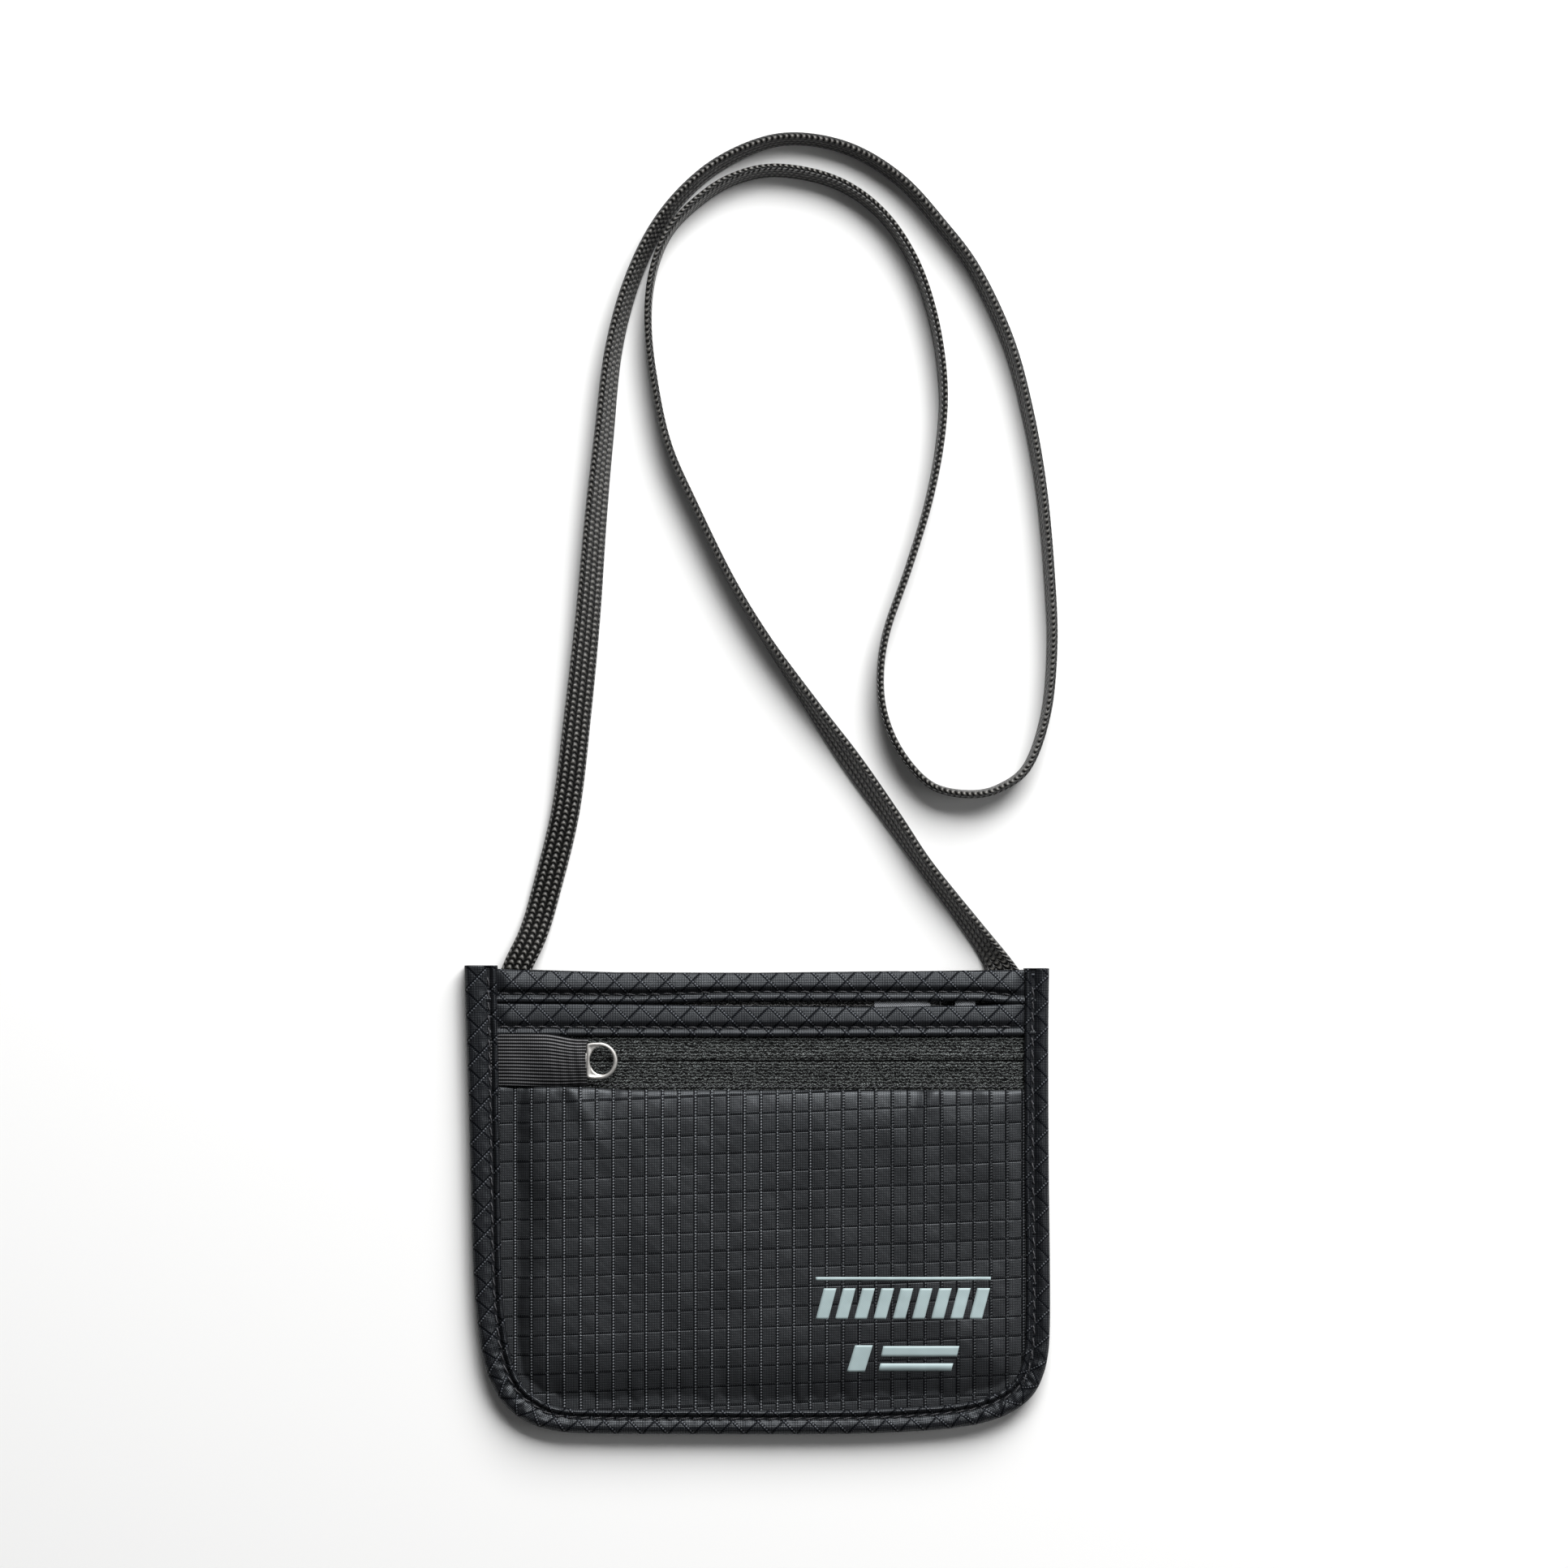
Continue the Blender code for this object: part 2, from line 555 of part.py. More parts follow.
def seam_lift(y):
    """How far the strap has risen from the surface to the seam that holds it, from 0 to 1."""
    share = min(max((LIFT_START_Y - y) / LIFT_RUN, 0.0), 1.0)
    return share * share * (3 - 2 * share)


def strap_height(y, roll):
    """The height of the strap's middle: its section rests on the surface, and rises to the seam."""
    lying = STRAP_THICK / 2 + (STRAP_WIDTH - STRAP_THICK) / 2 * abs(math.sin(math.radians(roll)))
    lift = seam_lift(y)
    return (lying + 0.05) * (1 - lift) + max(SEAM_Z, lying) * lift


def build_neck_strap():
    """A flat braid along its route, as a curve with a flat round-edged section."""
    steps = 3
    flat = (STRAP_WIDTH - STRAP_THICK) / 2
    section = []
    for side, start in ((1, -90), (-1, 90)):
        for step in range(steps + 1):
            angle = math.radians(start + 180 * step / steps)
            section.append((side * flat + STRAP_THICK / 2 * math.cos(angle), STRAP_THICK / 2 * math.sin(angle)))
    section_curve = bpy.data.curves.new("tool_strap_section", "CURVE")
    section_curve.dimensions = "2D"
    outline = section_curve.splines.new("POLY")
    outline.points.add(len(section) - 1)
    for point, (x, y) in zip(outline.points, section[::-1]):
        point.co = (x * MM, y * MM, 0.0, 1.0)
    outline.use_cyclic_u = True
    section_object = helper(add_object("tool_strap_section", section_curve, "braid"))

    curve = bpy.data.curves.new("neck_strap", "CURVE")
    curve.dimensions = "3D"
    curve.twist_mode = "Z_UP"
    curve.bevel_mode = "OBJECT"
    curve.bevel_object = section_object
    curve.use_fill_caps = True
    curve.render_resolution_u = 0
    strand = curve.splines.new("POLY")
    route = smooth_through(STRAP_ROUTE, STRAP_POINTS)
    strand.points.add(len(route) - 1)
    for point, (x, y, roll) in zip(strand.points, route):
        point.co = (x * MM, y * MM, strap_height(y, roll) * MM, 1.0)
        point.tilt = math.radians(roll)
    return add_object("neck_strap", curve, "braid")


def main():
    clear_scene()
    build_panels()
    build_seams()
    build_zip()
    build_zip_garage()
    build_slider()
    build_pull_ring()
    build_neck_strap()


main()
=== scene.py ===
"""The looks of the neck pouch wallet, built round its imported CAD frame. Shapes are in millimetres."""

import json
import math

import bmesh
import bpy
import numpy as np
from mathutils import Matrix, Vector


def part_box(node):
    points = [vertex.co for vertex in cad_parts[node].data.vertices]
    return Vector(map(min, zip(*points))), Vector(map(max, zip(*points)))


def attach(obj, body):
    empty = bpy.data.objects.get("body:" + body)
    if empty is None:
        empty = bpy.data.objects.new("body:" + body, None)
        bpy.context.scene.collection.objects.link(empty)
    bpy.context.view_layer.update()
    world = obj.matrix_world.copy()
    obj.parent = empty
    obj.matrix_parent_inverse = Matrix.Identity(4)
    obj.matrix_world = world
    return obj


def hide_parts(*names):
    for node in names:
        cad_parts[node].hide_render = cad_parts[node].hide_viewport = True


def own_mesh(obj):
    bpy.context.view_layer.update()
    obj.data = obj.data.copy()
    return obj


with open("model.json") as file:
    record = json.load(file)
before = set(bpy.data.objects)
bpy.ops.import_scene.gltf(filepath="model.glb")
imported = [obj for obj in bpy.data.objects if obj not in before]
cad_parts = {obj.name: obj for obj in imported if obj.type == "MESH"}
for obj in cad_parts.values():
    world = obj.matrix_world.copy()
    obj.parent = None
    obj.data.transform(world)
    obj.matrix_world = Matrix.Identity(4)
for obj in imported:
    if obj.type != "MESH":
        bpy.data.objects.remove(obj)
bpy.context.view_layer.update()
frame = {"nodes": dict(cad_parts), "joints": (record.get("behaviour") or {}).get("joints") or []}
MM = 0.001
TAU = 2 * math.pi


# ---------------------------------------------------------------- places from the frame

def box_mm(node):
    low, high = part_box(node)
    return np.array(low) / MM, np.array(high) / MM


def node_points(node):
    """A CAD node's different vertices, in millimetres."""
    mesh = frame["nodes"][node].data
    points = np.empty(len(mesh.vertices) * 3)
    mesh.vertices.foreach_get("co", points)
    return np.unique(np.round(points.reshape(-1, 3) / MM, 3), axis=0)


def arc_lengths(path):
    return np.concatenate([[0.0], np.cumsum(np.linalg.norm(np.diff(path, axis=0), axis=1))])


def smooth_through(points, count, flat_columns=2):
    """Evenly spaced points on a smooth curve through the given ones, spaced by the first columns only."""
    given = np.array(points, float)
    padded = np.vstack([given[:1], given, given[-1:]])
    t = (np.arange(16) / 16)[:, None]
    fine = []
    for p, q, r, s in zip(padded, padded[1:], padded[2:], padded[3:]):
        bend = (2 * p - 5 * q + 4 * r - s) * t * t
        fine.append(0.5 * (2 * q + (r - p) * t + bend + (3 * q - p - 3 * r + s) * t ** 3))
    fine = np.vstack(fine + [given[-1:]])
    lengths = arc_lengths(fine[:, :flat_columns])
    want = np.linspace(0, lengths[-1], count)
    return np.stack([np.interp(want, lengths, column) for column in fine.T], axis=1)


def directions(path):
    run = np.gradient(path, axis=0)
    return run / np.linalg.norm(run, axis=1)[:, None]


# Where binding_paths looks for the CAD binding's corners.
RIM_UNDER_TOP = 0.9
FLANGE_MOST = 0.8
SAME_HEIGHT = 0.01
FLANGE_REACH = (2.0, 12.0)
NOT_BESIDE = 99.0


def binding_paths():
    """The pouch's outline, left top to right top, and the binding's width there, from the CAD binding."""
    points = node_points("edge_binding")
    top = points[:, 2].max()
    flange_under = np.unique(points[points[:, 2] < top - SAME_HEIGHT, 2])
    flange_under = flange_under[flange_under > top - FLANGE_MOST].max()
    rim = points[np.abs(points[:, 2] - (top - RIM_UNDER_TOP)) < SAME_HEIGHT][:, :2]
    turn = (np.arctan2(rim[:, 1] + 5.0, rim[:, 0]) - math.radians(100)) % TAU
    rim = rim[np.argsort(turn)]
    under = points[np.abs(points[:, 2] - flange_under) < SAME_HEIGHT][:, :2]
    run = directions(rim)
    normal = np.stack([-run[:, 1], run[:, 0]], axis=1)
    inner = []
    for place, out in zip(rim, normal):
        gap = under - place
        inward = gap @ out
        beside = np.abs(gap @ np.array([-out[1], out[0]]))
        beside[(inward < FLANGE_REACH[0]) | (inward > FLANGE_REACH[1])] = NOT_BESIDE
        inner.append(inward[np.argmin(beside)])
    return rim, np.array(inner), top


def edges_of(node):
    """The lower and upper edges of a strip that runs across the pouch, as x and y columns sorted along x."""
    points = np.unique(np.round(node_points(node)[:, :2], 2), axis=0)
    middle = (points[:, 1].min() + points[:, 1].max()) / 2
    found = []
    for side in (points[points[:, 1] < middle], points[points[:, 1] >= middle]):
        found.append(side[np.argsort(side[:, 0])])
    return found


RIM, RIM_WIDTH, BINDING_TOP = binding_paths()
FABRIC_TOP = box_mm("top_hem")[1][2]
TAPE_TOP = box_mm("zip_tape_upper")[1][2]
ZIP_Y = (box_mm("zip_tape_upper")[0][1] + box_mm("zip_tape_lower")[1][1]) / 2
BACK_LOW = box_mm("back_panel")[0][2]
STATIONS = 820
OUTER = smooth_through(np.column_stack([RIM, RIM_WIDTH]), STATIONS)
OUTER_WIDTH = OUTER[:, 2]
OUTER = OUTER[:, :2]
OUTER_RUN = directions(OUTER)
OUTER_IN = np.stack([-OUTER_RUN[:, 1], OUTER_RUN[:, 0]], axis=1)
OUTER_S = arc_lengths(OUTER)


# ---------------------------------------------------------------- shape helpers

def wander(seed, x, y=0.0, scale=10.0, octaves=4):
    """Smooth, seeded unevenness from about -1 to 1, with features of the given size."""
    draw = np.random.default_rng(seed)
    total = np.zeros(np.broadcast(x, y).shape)
    size = scale
    strength = 0.6
    for _ in range(octaves):
        for _ in range(3):
            angle, phase = draw.uniform(0, TAU, 2)
            along = x * math.cos(angle) + y * math.sin(angle)
            total = total + strength / 2 * np.sin(TAU * along / size + phase)
        size *= 0.55
        strength *= 0.55
    return total


def bell(x, middle, spread):
    return np.exp(-((x - middle) / spread) ** 2)


def step_up(x, low, high):
    t = np.clip((x - low) / (high - low), 0, 1)
    return t * t * (3 - 2 * t)


def quads(rows, columns, wrap=False, offset=0):
    """Faces of a grid of points. wrap joins the last column to the first."""
    across = columns if wrap else columns - 1
    r = np.arange(rows - 1)[:, None] * columns
    a = np.arange(across)[None, :]
    b = (a + 1) % columns
    return np.stack([r + a, r + b, r + b + columns, r + a + columns], axis=-1).reshape(-1, 4) + offset


def ring_faces(rows, columns):
    """Faces of rings of points, the last ring joined to the first."""
    here = np.arange(columns)
    beside = (here + 1) % columns
    last = (rows - 1) * columns
    closing = np.stack([last + here, last + beside, beside, here], axis=-1)
    return np.vstack([quads(rows, columns, wrap=True), closing])


def thick_faces(rows, columns, offset=0):
    """Faces of a closed sheet: the grids of its two faces, and the sides between them."""
    count = rows * columns
    rim = list(range(columns)) + [r * columns + columns - 1 for r in range(1, rows)]
    rim += [(rows - 1) * columns + c for c in range(columns - 2, -1, -1)]
    rim += [r * columns for r in range(rows - 2, 0, -1)]
    rim = np.array(rim) + offset
    after = np.roll(rim, -1)
    return np.vstack([
        quads(rows, columns, offset=offset),
        quads(rows, columns, offset=offset + count)[:, ::-1],
        np.stack([after, rim, rim + count, after + count], axis=1)])


def make_mesh(name, points, faces, finish, uv=None, extra=()):
    """A smooth mesh from points in millimetres. uv gives each point's place on the cloth, in millimetres."""
    mesh = bpy.data.meshes.new(name)
    all_faces = [tuple(f) for f in faces.tolist()] + [tuple(f) for f in extra]
    mesh.from_pydata((np.asarray(points) * MM).tolist(), [], all_faces)
    mesh.shade_smooth()
    if uv is not None:
        layer = mesh.uv_layers.new(name="cloth")
        index = np.empty(len(mesh.loops), int)
        mesh.loops.foreach_get("vertex_index", index)
        layer.data.foreach_set("uv", np.asarray(uv, float)[index].ravel())
    made = bpy.data.objects.new(name, mesh)
    bpy.context.scene.collection.objects.link(made)
    mesh.materials.append(finish)
    return made


def turn_out(made):
    """Faces of a closed mesh turned outward."""
    shape = bmesh.new()
    shape.from_mesh(made.data)
    bmesh.ops.recalc_face_normals(shape, faces=shape.faces)
    shape.to_mesh(made.data)
    shape.free()
    return made


def sheet(name, top, bottom, finish, uv):
    """A thin closed sheet from the grids of its two faces."""
    rows, columns, _ = top.shape
    points = np.vstack([top.reshape(-1, 3), bottom.reshape(-1, 3)])
    cloth = np.vstack([uv.reshape(-1, 2), uv.reshape(-1, 2)])
    return make_mesh(name, points, thick_faces(rows, columns), finish, cloth)


def tube(name, rings, finish, cloth=None):
    """A closed solid through rings of points. cloth has one column more than the rings, for the seam."""
    rows, columns, _ = rings.shape
    faces = quads(rows, columns, wrap=True)
    ends = [tuple(range(columns))[::-1], tuple(range((rows - 1) * columns, rows * columns))]
    made = make_mesh(name, rings.reshape(-1, 3), faces, finish, None, ends)
    if cloth is not None:
        corners = np.stack([cloth[:-1, :-1], cloth[:-1, 1:], cloth[1:, 1:], cloth[1:, :-1]], axis=2)
        corners = corners.reshape(-1, 2)
        layout = np.zeros((len(made.data.loops), 2))
        layout[:len(corners)] = corners
        made.data.uv_layers.new(name="cloth").data.foreach_set("uv", layout.ravel())
    return made


def place(piece, body, slot, *nodes):
    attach(piece, body)
    if nodes:
        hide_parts(*nodes)
    return piece


def lay(name, x, y, top, bottom, finish, uv, slot, *nodes):
    """A sheet that rides on the pouch, between two heights over the same x and y."""
    piece = turn_out(sheet(name, np.dstack([x, y, top]), np.dstack([x, y, bottom]), finish, uv))
    return place(piece, "pouch", slot, *nodes)


# ---------------------------------------------------------------- materials

GRID_X = 4.06
GRID_Y = 4.8
GRID_BIAS = 4.5
DOTS_UP = 0.73
DOTS_LEVEL = 0.55
BRAID_STITCH = 1.4
BRAID_COLUMN = 1.8
RIB_PITCH = 0.81


class Finish:
    """A Principled material with helpers for worked-out patterns in millimetres."""

    def __init__(self, name, colour, roughness, metallic=0.0, specular=0.5, sheen=0.0, sheen_roughness=0.4):
        self.made = bpy.data.materials.new(name)
        self.made.use_nodes = True
        self.nodes = self.made.node_tree.nodes
        self.links = self.made.node_tree.links
        self.shader = self.nodes["Principled BSDF"]
        self.set("Base Color", (*colour, 1.0))
        self.set("Roughness", roughness)
        self.set("Metallic", metallic)
        self.set("Specular IOR Level", specular)
        self.set("Sheen Weight", sheen)
        self.set("Sheen Roughness", sheen_roughness)

    def set(self, socket, value):
        self.shader.inputs[socket].default_value = value

    def feed(self, node, index, value):
        if isinstance(value, (int, float)):
            node.inputs[index].default_value = value
        else:
            self.links.new(value, node.inputs[index])

    def math(self, operation, *values, clamp=False):
        node = self.nodes.new("ShaderNodeMath")
        node.operation = operation
        node.use_clamp = clamp
        for index, value in enumerate(values):
            self.feed(node, index, value)
        return node.outputs[0]

    def add(self, a, b, clamp=False):
        return self.math("ADD", a, b, clamp=clamp)

    def sub(self, a, b, clamp=False):
        return self.math("SUBTRACT", a, b, clamp=clamp)

    def mul(self, a, b, clamp=False):
        return self.math("MULTIPLY", a, b, clamp=clamp)

    def scale(self, value, times, plus):
        return self.math("MULTIPLY_ADD", value, times, plus)

    def power(self, value, raised):
        return self.math("POWER", value, raised)

    def wave(self, along, period, phase=0.0):
        """0 to 1 and back, once each period."""
        turn = self.math("MULTIPLY_ADD", along, TAU / period, phase)
        return self.math("MULTIPLY_ADD", self.math("SINE", turn), 0.5, 0.5)

    def line(self, along, pitch, half_width):
        """1 on lines that are a pitch apart, falling to 0 at half_width."""
        share = self.math("FRACT", self.math("DIVIDE", along, pitch))
        centred = self.math("ABSOLUTE", self.math("SUBTRACT", share, 0.5))
        away = self.mul(self.math("SUBTRACT", 0.5, centred), pitch)
        return self.math("SUBTRACT", 1.0, self.math("DIVIDE", away, half_width), clamp=True)

    def flat(self):
        """x and y on the object, in millimetres."""
        split = self.nodes.new("ShaderNodeSeparateXYZ")
        self.links.new(self.nodes.new("ShaderNodeTexCoord").outputs["Object"], split.inputs[0])
        return self.mul(split.outputs[0], 1000.0), self.mul(split.outputs[1], 1000.0)

    def cloth(self):
        """x and y on the cloth, in millimetres, from the mesh's own layout."""
        source = self.nodes.new("ShaderNodeUVMap")
        source.uv_map = "cloth"
        split = self.nodes.new("ShaderNodeSeparateXYZ")
        self.links.new(source.outputs[0], split.inputs[0])
        return split.outputs[0], split.outputs[1]

    def cloud(self, scale, detail=2.0, roughness=0.5):
        """Soft noise from 0 to 1. scale is features per metre."""
        noise = self.nodes.new("ShaderNodeTexNoise")
        self.links.new(self.nodes.new("ShaderNodeTexCoord").outputs["Object"], noise.inputs["Vector"])
        noise.inputs["Scale"].default_value = scale
        noise.inputs["Detail"].default_value = detail
        noise.inputs["Roughness"].default_value = roughness
        return noise.outputs["Fac"]

    def tint(self, factor, low, high):
        """Base colour between two colours."""
        mix = self.nodes.new("ShaderNodeMix")
        mix.data_type = "RGBA"
        self.feed(mix, 0, factor)
        mix.inputs[6].default_value = (*low, 1.0)
        mix.inputs[7].default_value = (*high, 1.0)
        self.links.new(mix.outputs[2], self.shader.inputs["Base Color"])

    def gloss(self, value):
        """How much light each spot mirrors: the gaps between yarns mirror next to none."""
        self.links.new(value, self.shader.inputs["Specular IOR Level"])

    def bump(self, height):
        """Height in millimetres."""
        node = self.nodes.new("ShaderNodeBump")
        node.inputs["Strength"].default_value = 1.0
        node.inputs["Distance"].default_value = MM
        self.links.new(height, node.inputs["Height"])
        self.links.new(node.outputs[0], self.shader.inputs["Normal"])

    def rough(self, factor, low, high):
        """Roughness between two values."""
        mixed = self.math("MULTIPLY_ADD", factor, high - low, low, clamp=True)
        self.links.new(mixed, self.shader.inputs["Roughness"])


def ripstop(name, turned, pitch_x, pitch_y, dark, light, roughness):
    """Fine coated weave with thicker threads in a grid. turned lays the grid on the bias."""
    finish = Finish(name, dark, roughness, specular=0.4, sheen=0.02, sheen_roughness=0.35)
    finish.set("Specular Tint", (0.90, 0.95, 1.0, 1.0))
    x, y = finish.cloth()
    if turned:
        u = finish.mul(finish.add(x, y), math.sqrt(0.5))
        v = finish.mul(finish.sub(x, y), math.sqrt(0.5))
    else:
        u, v = x, y
    upright = finish.mul(finish.line(u, pitch_x, 0.25), finish.power(finish.wave(v, DOTS_UP), 1.3))
    level = finish.mul(finish.line(v, pitch_y, 0.22), finish.power(finish.wave(u, DOTS_LEVEL), 1.3))
    if not turned:
        # Painted shade: the upright threads' light dots are dimmed towards the right of the panel, by x on
        # the cloth.
        sunk = finish.math("DIVIDE", finish.add(x, -2.0), 34.0, clamp=True)
        upright = finish.mul(upright, finish.scale(sunk, -0.72, 1.0))
    threads = finish.math("MAXIMUM", upright, finish.mul(level, 0.22))
    # Painted shadow: dark lines beside each upright thread and below each level thread, where the raised
    # threads shade the cloth. The same mask also sinks the bump as a real groove.
    between = finish.mul(finish.line(finish.add(u, -0.2), pitch_x, 0.3), finish.wave(v, DOTS_UP, math.pi))
    below = finish.mul(finish.line(finish.add(v, 0.2), pitch_y, 0.40), 1.7, clamp=True)
    beside = finish.mul(finish.line(finish.add(u, 0.26), pitch_x, 0.34), 1.5, clamp=True)
    groove_and_shadow = finish.math("MAXIMUM", beside, finish.math("MAXIMUM", between, below))
    twill = finish.wave(finish.add(x, y), 0.46)
    plain = finish.mul(finish.wave(x, 0.38), finish.wave(y, 0.38))
    grain = plain if turned else finish.scale(plain, 0.9, finish.mul(twill, 0.3))
    patch = finish.cloud(90.0)
    shade = finish.scale(finish.power(grain, 1.6), 0.13, finish.mul(patch, 0.012))
    # Painted shade: the colour darkens along these grooves.
    shade = finish.sub(shade, finish.mul(groove_and_shadow, 0.5), clamp=True)
    finish.tint(finish.add(threads, shade, clamp=True), dark, light)
    open_cloth = finish.scale(finish.power(grain, 1.3), 1.45, 0.08)
    kept = finish.scale(groove_and_shadow, -0.92, 1.0)
    finish.gloss(finish.scale(threads, 0.2 if turned else 0.55, finish.mul(open_cloth, kept)))
    height = finish.scale(threads, 0.07 if turned else 0.09, finish.mul(grain, 0.018))
    height = finish.sub(height, finish.mul(groove_and_shadow, 0.045 if turned else 0.09))
    finish.bump(height)
    finish.rough(patch, roughness - 0.05, roughness + 0.08)
    return finish.made


def knit(name, dark, light):
    """Zip tape: rows of slanting loops that lean one way and the other."""
    finish = Finish(name, dark, 0.7, specular=0.4, sheen=0.03, sheen_roughness=0.5)
    x, y = finish.flat()
    uneven = finish.mul(finish.sub(finish.cloud(1300.0, 2.0, 0.6), 0.5), 3.2)
    row = finish.wave(y, 1.5)
    lean = finish.scale(row, 1.0, x)
    loops = finish.wave(finish.add(lean, uneven), 0.58)
    rows = finish.wave(finish.scale(uneven, 0.5, y), 0.75)
    loop = finish.mul(loops, rows)
    finish.tint(finish.power(loop, 2.0), dark, light)
    finish.gloss(finish.scale(loop, 0.75, 0.04))
    finish.bump(finish.mul(loop, 0.16))
    return finish.made


def plain_thread(name, dark, light, period=0.55):
    """Twisted thread or braid yarn."""
    finish = Finish(name, dark, 0.55, specular=0.5, sheen=0.05, sheen_roughness=0.4)
    x, y = finish.flat()
    twist = finish.wave(finish.scale(y, 0.6, x), period)
    finish.tint(finish.mul(twist, finish.cloud(1500.0, 1.0)), dark, light)
    finish.bump(finish.mul(twist, 0.05))
    return finish.made


def ribbed(name, dark, light, pitch):
    """Grosgrain: the ribs are in the mesh, and each rib's crest is painted lighter as a painted highlight,
    dotted by the yarn that binds it.
    """
    finish = Finish(name, dark, 0.55, specular=0.5, sheen=0.03, sheen_roughness=0.4)
    x, y = finish.cloth()
    top = finish.wave(y, pitch, math.pi / 2)
    dots = finish.wave(x, 0.34)
    # Painted highlight: the rib crests are lighter in colour.
    finish.tint(finish.mul(finish.power(top, 2.5), finish.scale(dots, 0.7, 0.3)), dark, light)
    finish.gloss(finish.scale(finish.power(top, 2.0), 0.75, 0.03))
    finish.bump(finish.mul(dots, 0.05))
    return finish.made


def braid(name, dark, light):
    """Columns of arched stitches along the strap, half a stitch out of step with their neighbours."""
    finish = Finish(name, dark, 0.34, specular=0.5, sheen=0.03, sheen_roughness=0.35)
    along, across = finish.cloth()
    column = finish.math("DIVIDE", across, BRAID_COLUMN)
    off_middle = finish.mul(finish.math("ABSOLUTE", finish.sub(finish.math("FRACT", column), 0.5)), 2.0)
    odd = finish.math("FRACT", finish.mul(finish.math("FLOOR", column), 0.5))
    bow = finish.scale(finish.mul(off_middle, off_middle), 0.5, odd)
    loose = finish.mul(finish.sub(finish.cloud(700.0, 1.0), 0.5), 0.35)
    phase = finish.math("FRACT", finish.add(
        finish.math("DIVIDE", along, BRAID_STITCH), finish.add(bow, loose)))
    centred = finish.scale(phase, 2.0, -1.0)
    yarn = finish.sub(1.0, finish.mul(centred, centred), clamp=True)
    side = finish.sub(1.0, finish.mul(finish.power(off_middle, 3.0), 0.85), clamp=True)
    stitch = finish.mul(yarn, side)
    strands = finish.wave(finish.scale(across, 1.3, along), 0.24)
    apex = finish.scale(off_middle, -0.75, 1.0)
    # Painted highlight: the colour lightens at each stitch's apex, most in the middle of its column.
    apex_painted_highlight = finish.mul(finish.mul(finish.power(stitch, 4.0), apex), finish.scale(strands, 0.4, 0.5))
    finish.tint(apex_painted_highlight, dark, light)
    finish.bump(finish.scale(stitch, 0.5, finish.mul(strands, 0.018)))
    return finish.made


def metal(name, colour, roughness, metallic):
    finish = Finish(name, colour, roughness, metallic)
    grain = finish.cloud(1400.0, 4.0, 0.6)
    finish.tint(grain, tuple(c * 0.86 for c in colour), colour)
    finish.bump(finish.mul(grain, 0.012))
    finish.rough(grain, roughness - 0.05, roughness + 0.1)
    return finish.made


def cloth_plain(name, dark, light, roughness=0.8, metallic=0.0):
    finish = Finish(name, dark, roughness, metallic, specular=0.4, sheen=0.02)
    x, y = finish.flat()
    weave = finish.mul(finish.wave(x, 0.5), finish.wave(y, 0.5))
    finish.tint(weave, dark, light)
    finish.bump(finish.mul(weave, 0.06))
    return finish.made


def twill_label(name, dark, light):
    finish = Finish(name, dark, 0.55, specular=0.5)
    x, y = finish.flat()
    rib = finish.wave(finish.scale(y, 0.8, x), 0.5)
    finish.tint(rib, dark, light)
    finish.bump(finish.mul(rib, 0.08))
    return finish.made


def ink(name, colour):
    finish = Finish(name, colour, 0.45, specular=0.4)
    x, y = finish.flat()
    weave = finish.wave(finish.add(x, y), 0.46)
    finish.tint(weave, tuple(c * 0.86 for c in colour), colour)
    finish.bump(finish.mul(weave, 0.012))
    return finish.made


RIPSTOP = ripstop(
    "ripstop_straight", False, GRID_X, GRID_Y, (0.0022, 0.0024, 0.0031), (0.24, 0.255, 0.275), 0.46)
BIAS = ripstop(
    "ripstop_bias", True, GRID_BIAS, GRID_BIAS, (0.0028, 0.0032, 0.0044), (0.12, 0.128, 0.145), 0.44)
TAPE = knit("zip_tape_knit", (0.0020, 0.0022, 0.0022), (0.26, 0.285, 0.28))
THREAD = plain_thread("sewing_thread", (0.015, 0.015, 0.0175), (0.13, 0.13, 0.142))
RIBBON = ribbed("grosgrain", (0.002, 0.002, 0.0025), (0.15, 0.15, 0.158), RIB_PITCH)
BRAID = braid("strap_yarn", (0.0025, 0.0023, 0.0021), (0.24, 0.232, 0.215))
NICKEL = metal("satin_nickel", (0.68, 0.665, 0.64), 0.46, 1.0)
PAINT = metal("black_paint", (0.02, 0.02, 0.022), 0.35, 0.2)
KNIT_LINING = knit("dark_mesh_lining", (0.003, 0.003, 0.003), (0.30, 0.30, 0.30))
LINING = cloth_plain("inner_lining", (0.008, 0.008, 0.009), (0.025, 0.025, 0.028))
FOIL = cloth_plain("shield_cloth", (0.22, 0.23, 0.25), (0.42, 0.43, 0.45), 0.35, 0.7)
LABEL = twill_label("label_tape", (0.12, 0.126, 0.138), (0.36, 0.375, 0.40))
COIL = plain_thread("nylon_coil", (0.008, 0.008, 0.009), (0.03, 0.03, 0.03), 0.7)
INK = ink("pale_print", (0.40, 0.50, 0.51))


# ---------------------------------------------------------------- camera, lights and floor

def look_from_above():
    """The photograph's view: square on to the front, the strap's end of the object up."""
    data = bpy.data.cameras.new("camera")
    data.sensor_width = 36.0
    distance = 2.0
    view_width = 0.3891
    data.lens = data.sensor_width * distance / view_width
    camera = bpy.data.objects.new("camera", data)
    camera.location = (0.00665, 0.1030, distance)
    bpy.context.scene.collection.objects.link(camera)
    bpy.context.scene.camera = camera


def area_light(name, place_m, aim_m, size, energy, size_y=None):
    data = bpy.data.lights.new(name, "AREA")
    data.shape = "RECTANGLE"
    data.size = size
    data.size_y = size_y or size
    data.energy = energy
    lamp = bpy.data.objects.new(name, data)
    lamp.location = place_m
    lamp.rotation_mode = "QUATERNION"
    lamp.rotation_quaternion = (Vector(aim_m) - Vector(place_m)).to_track_quat("-Z", "Y")
    bpy.context.scene.collection.objects.link(lamp)


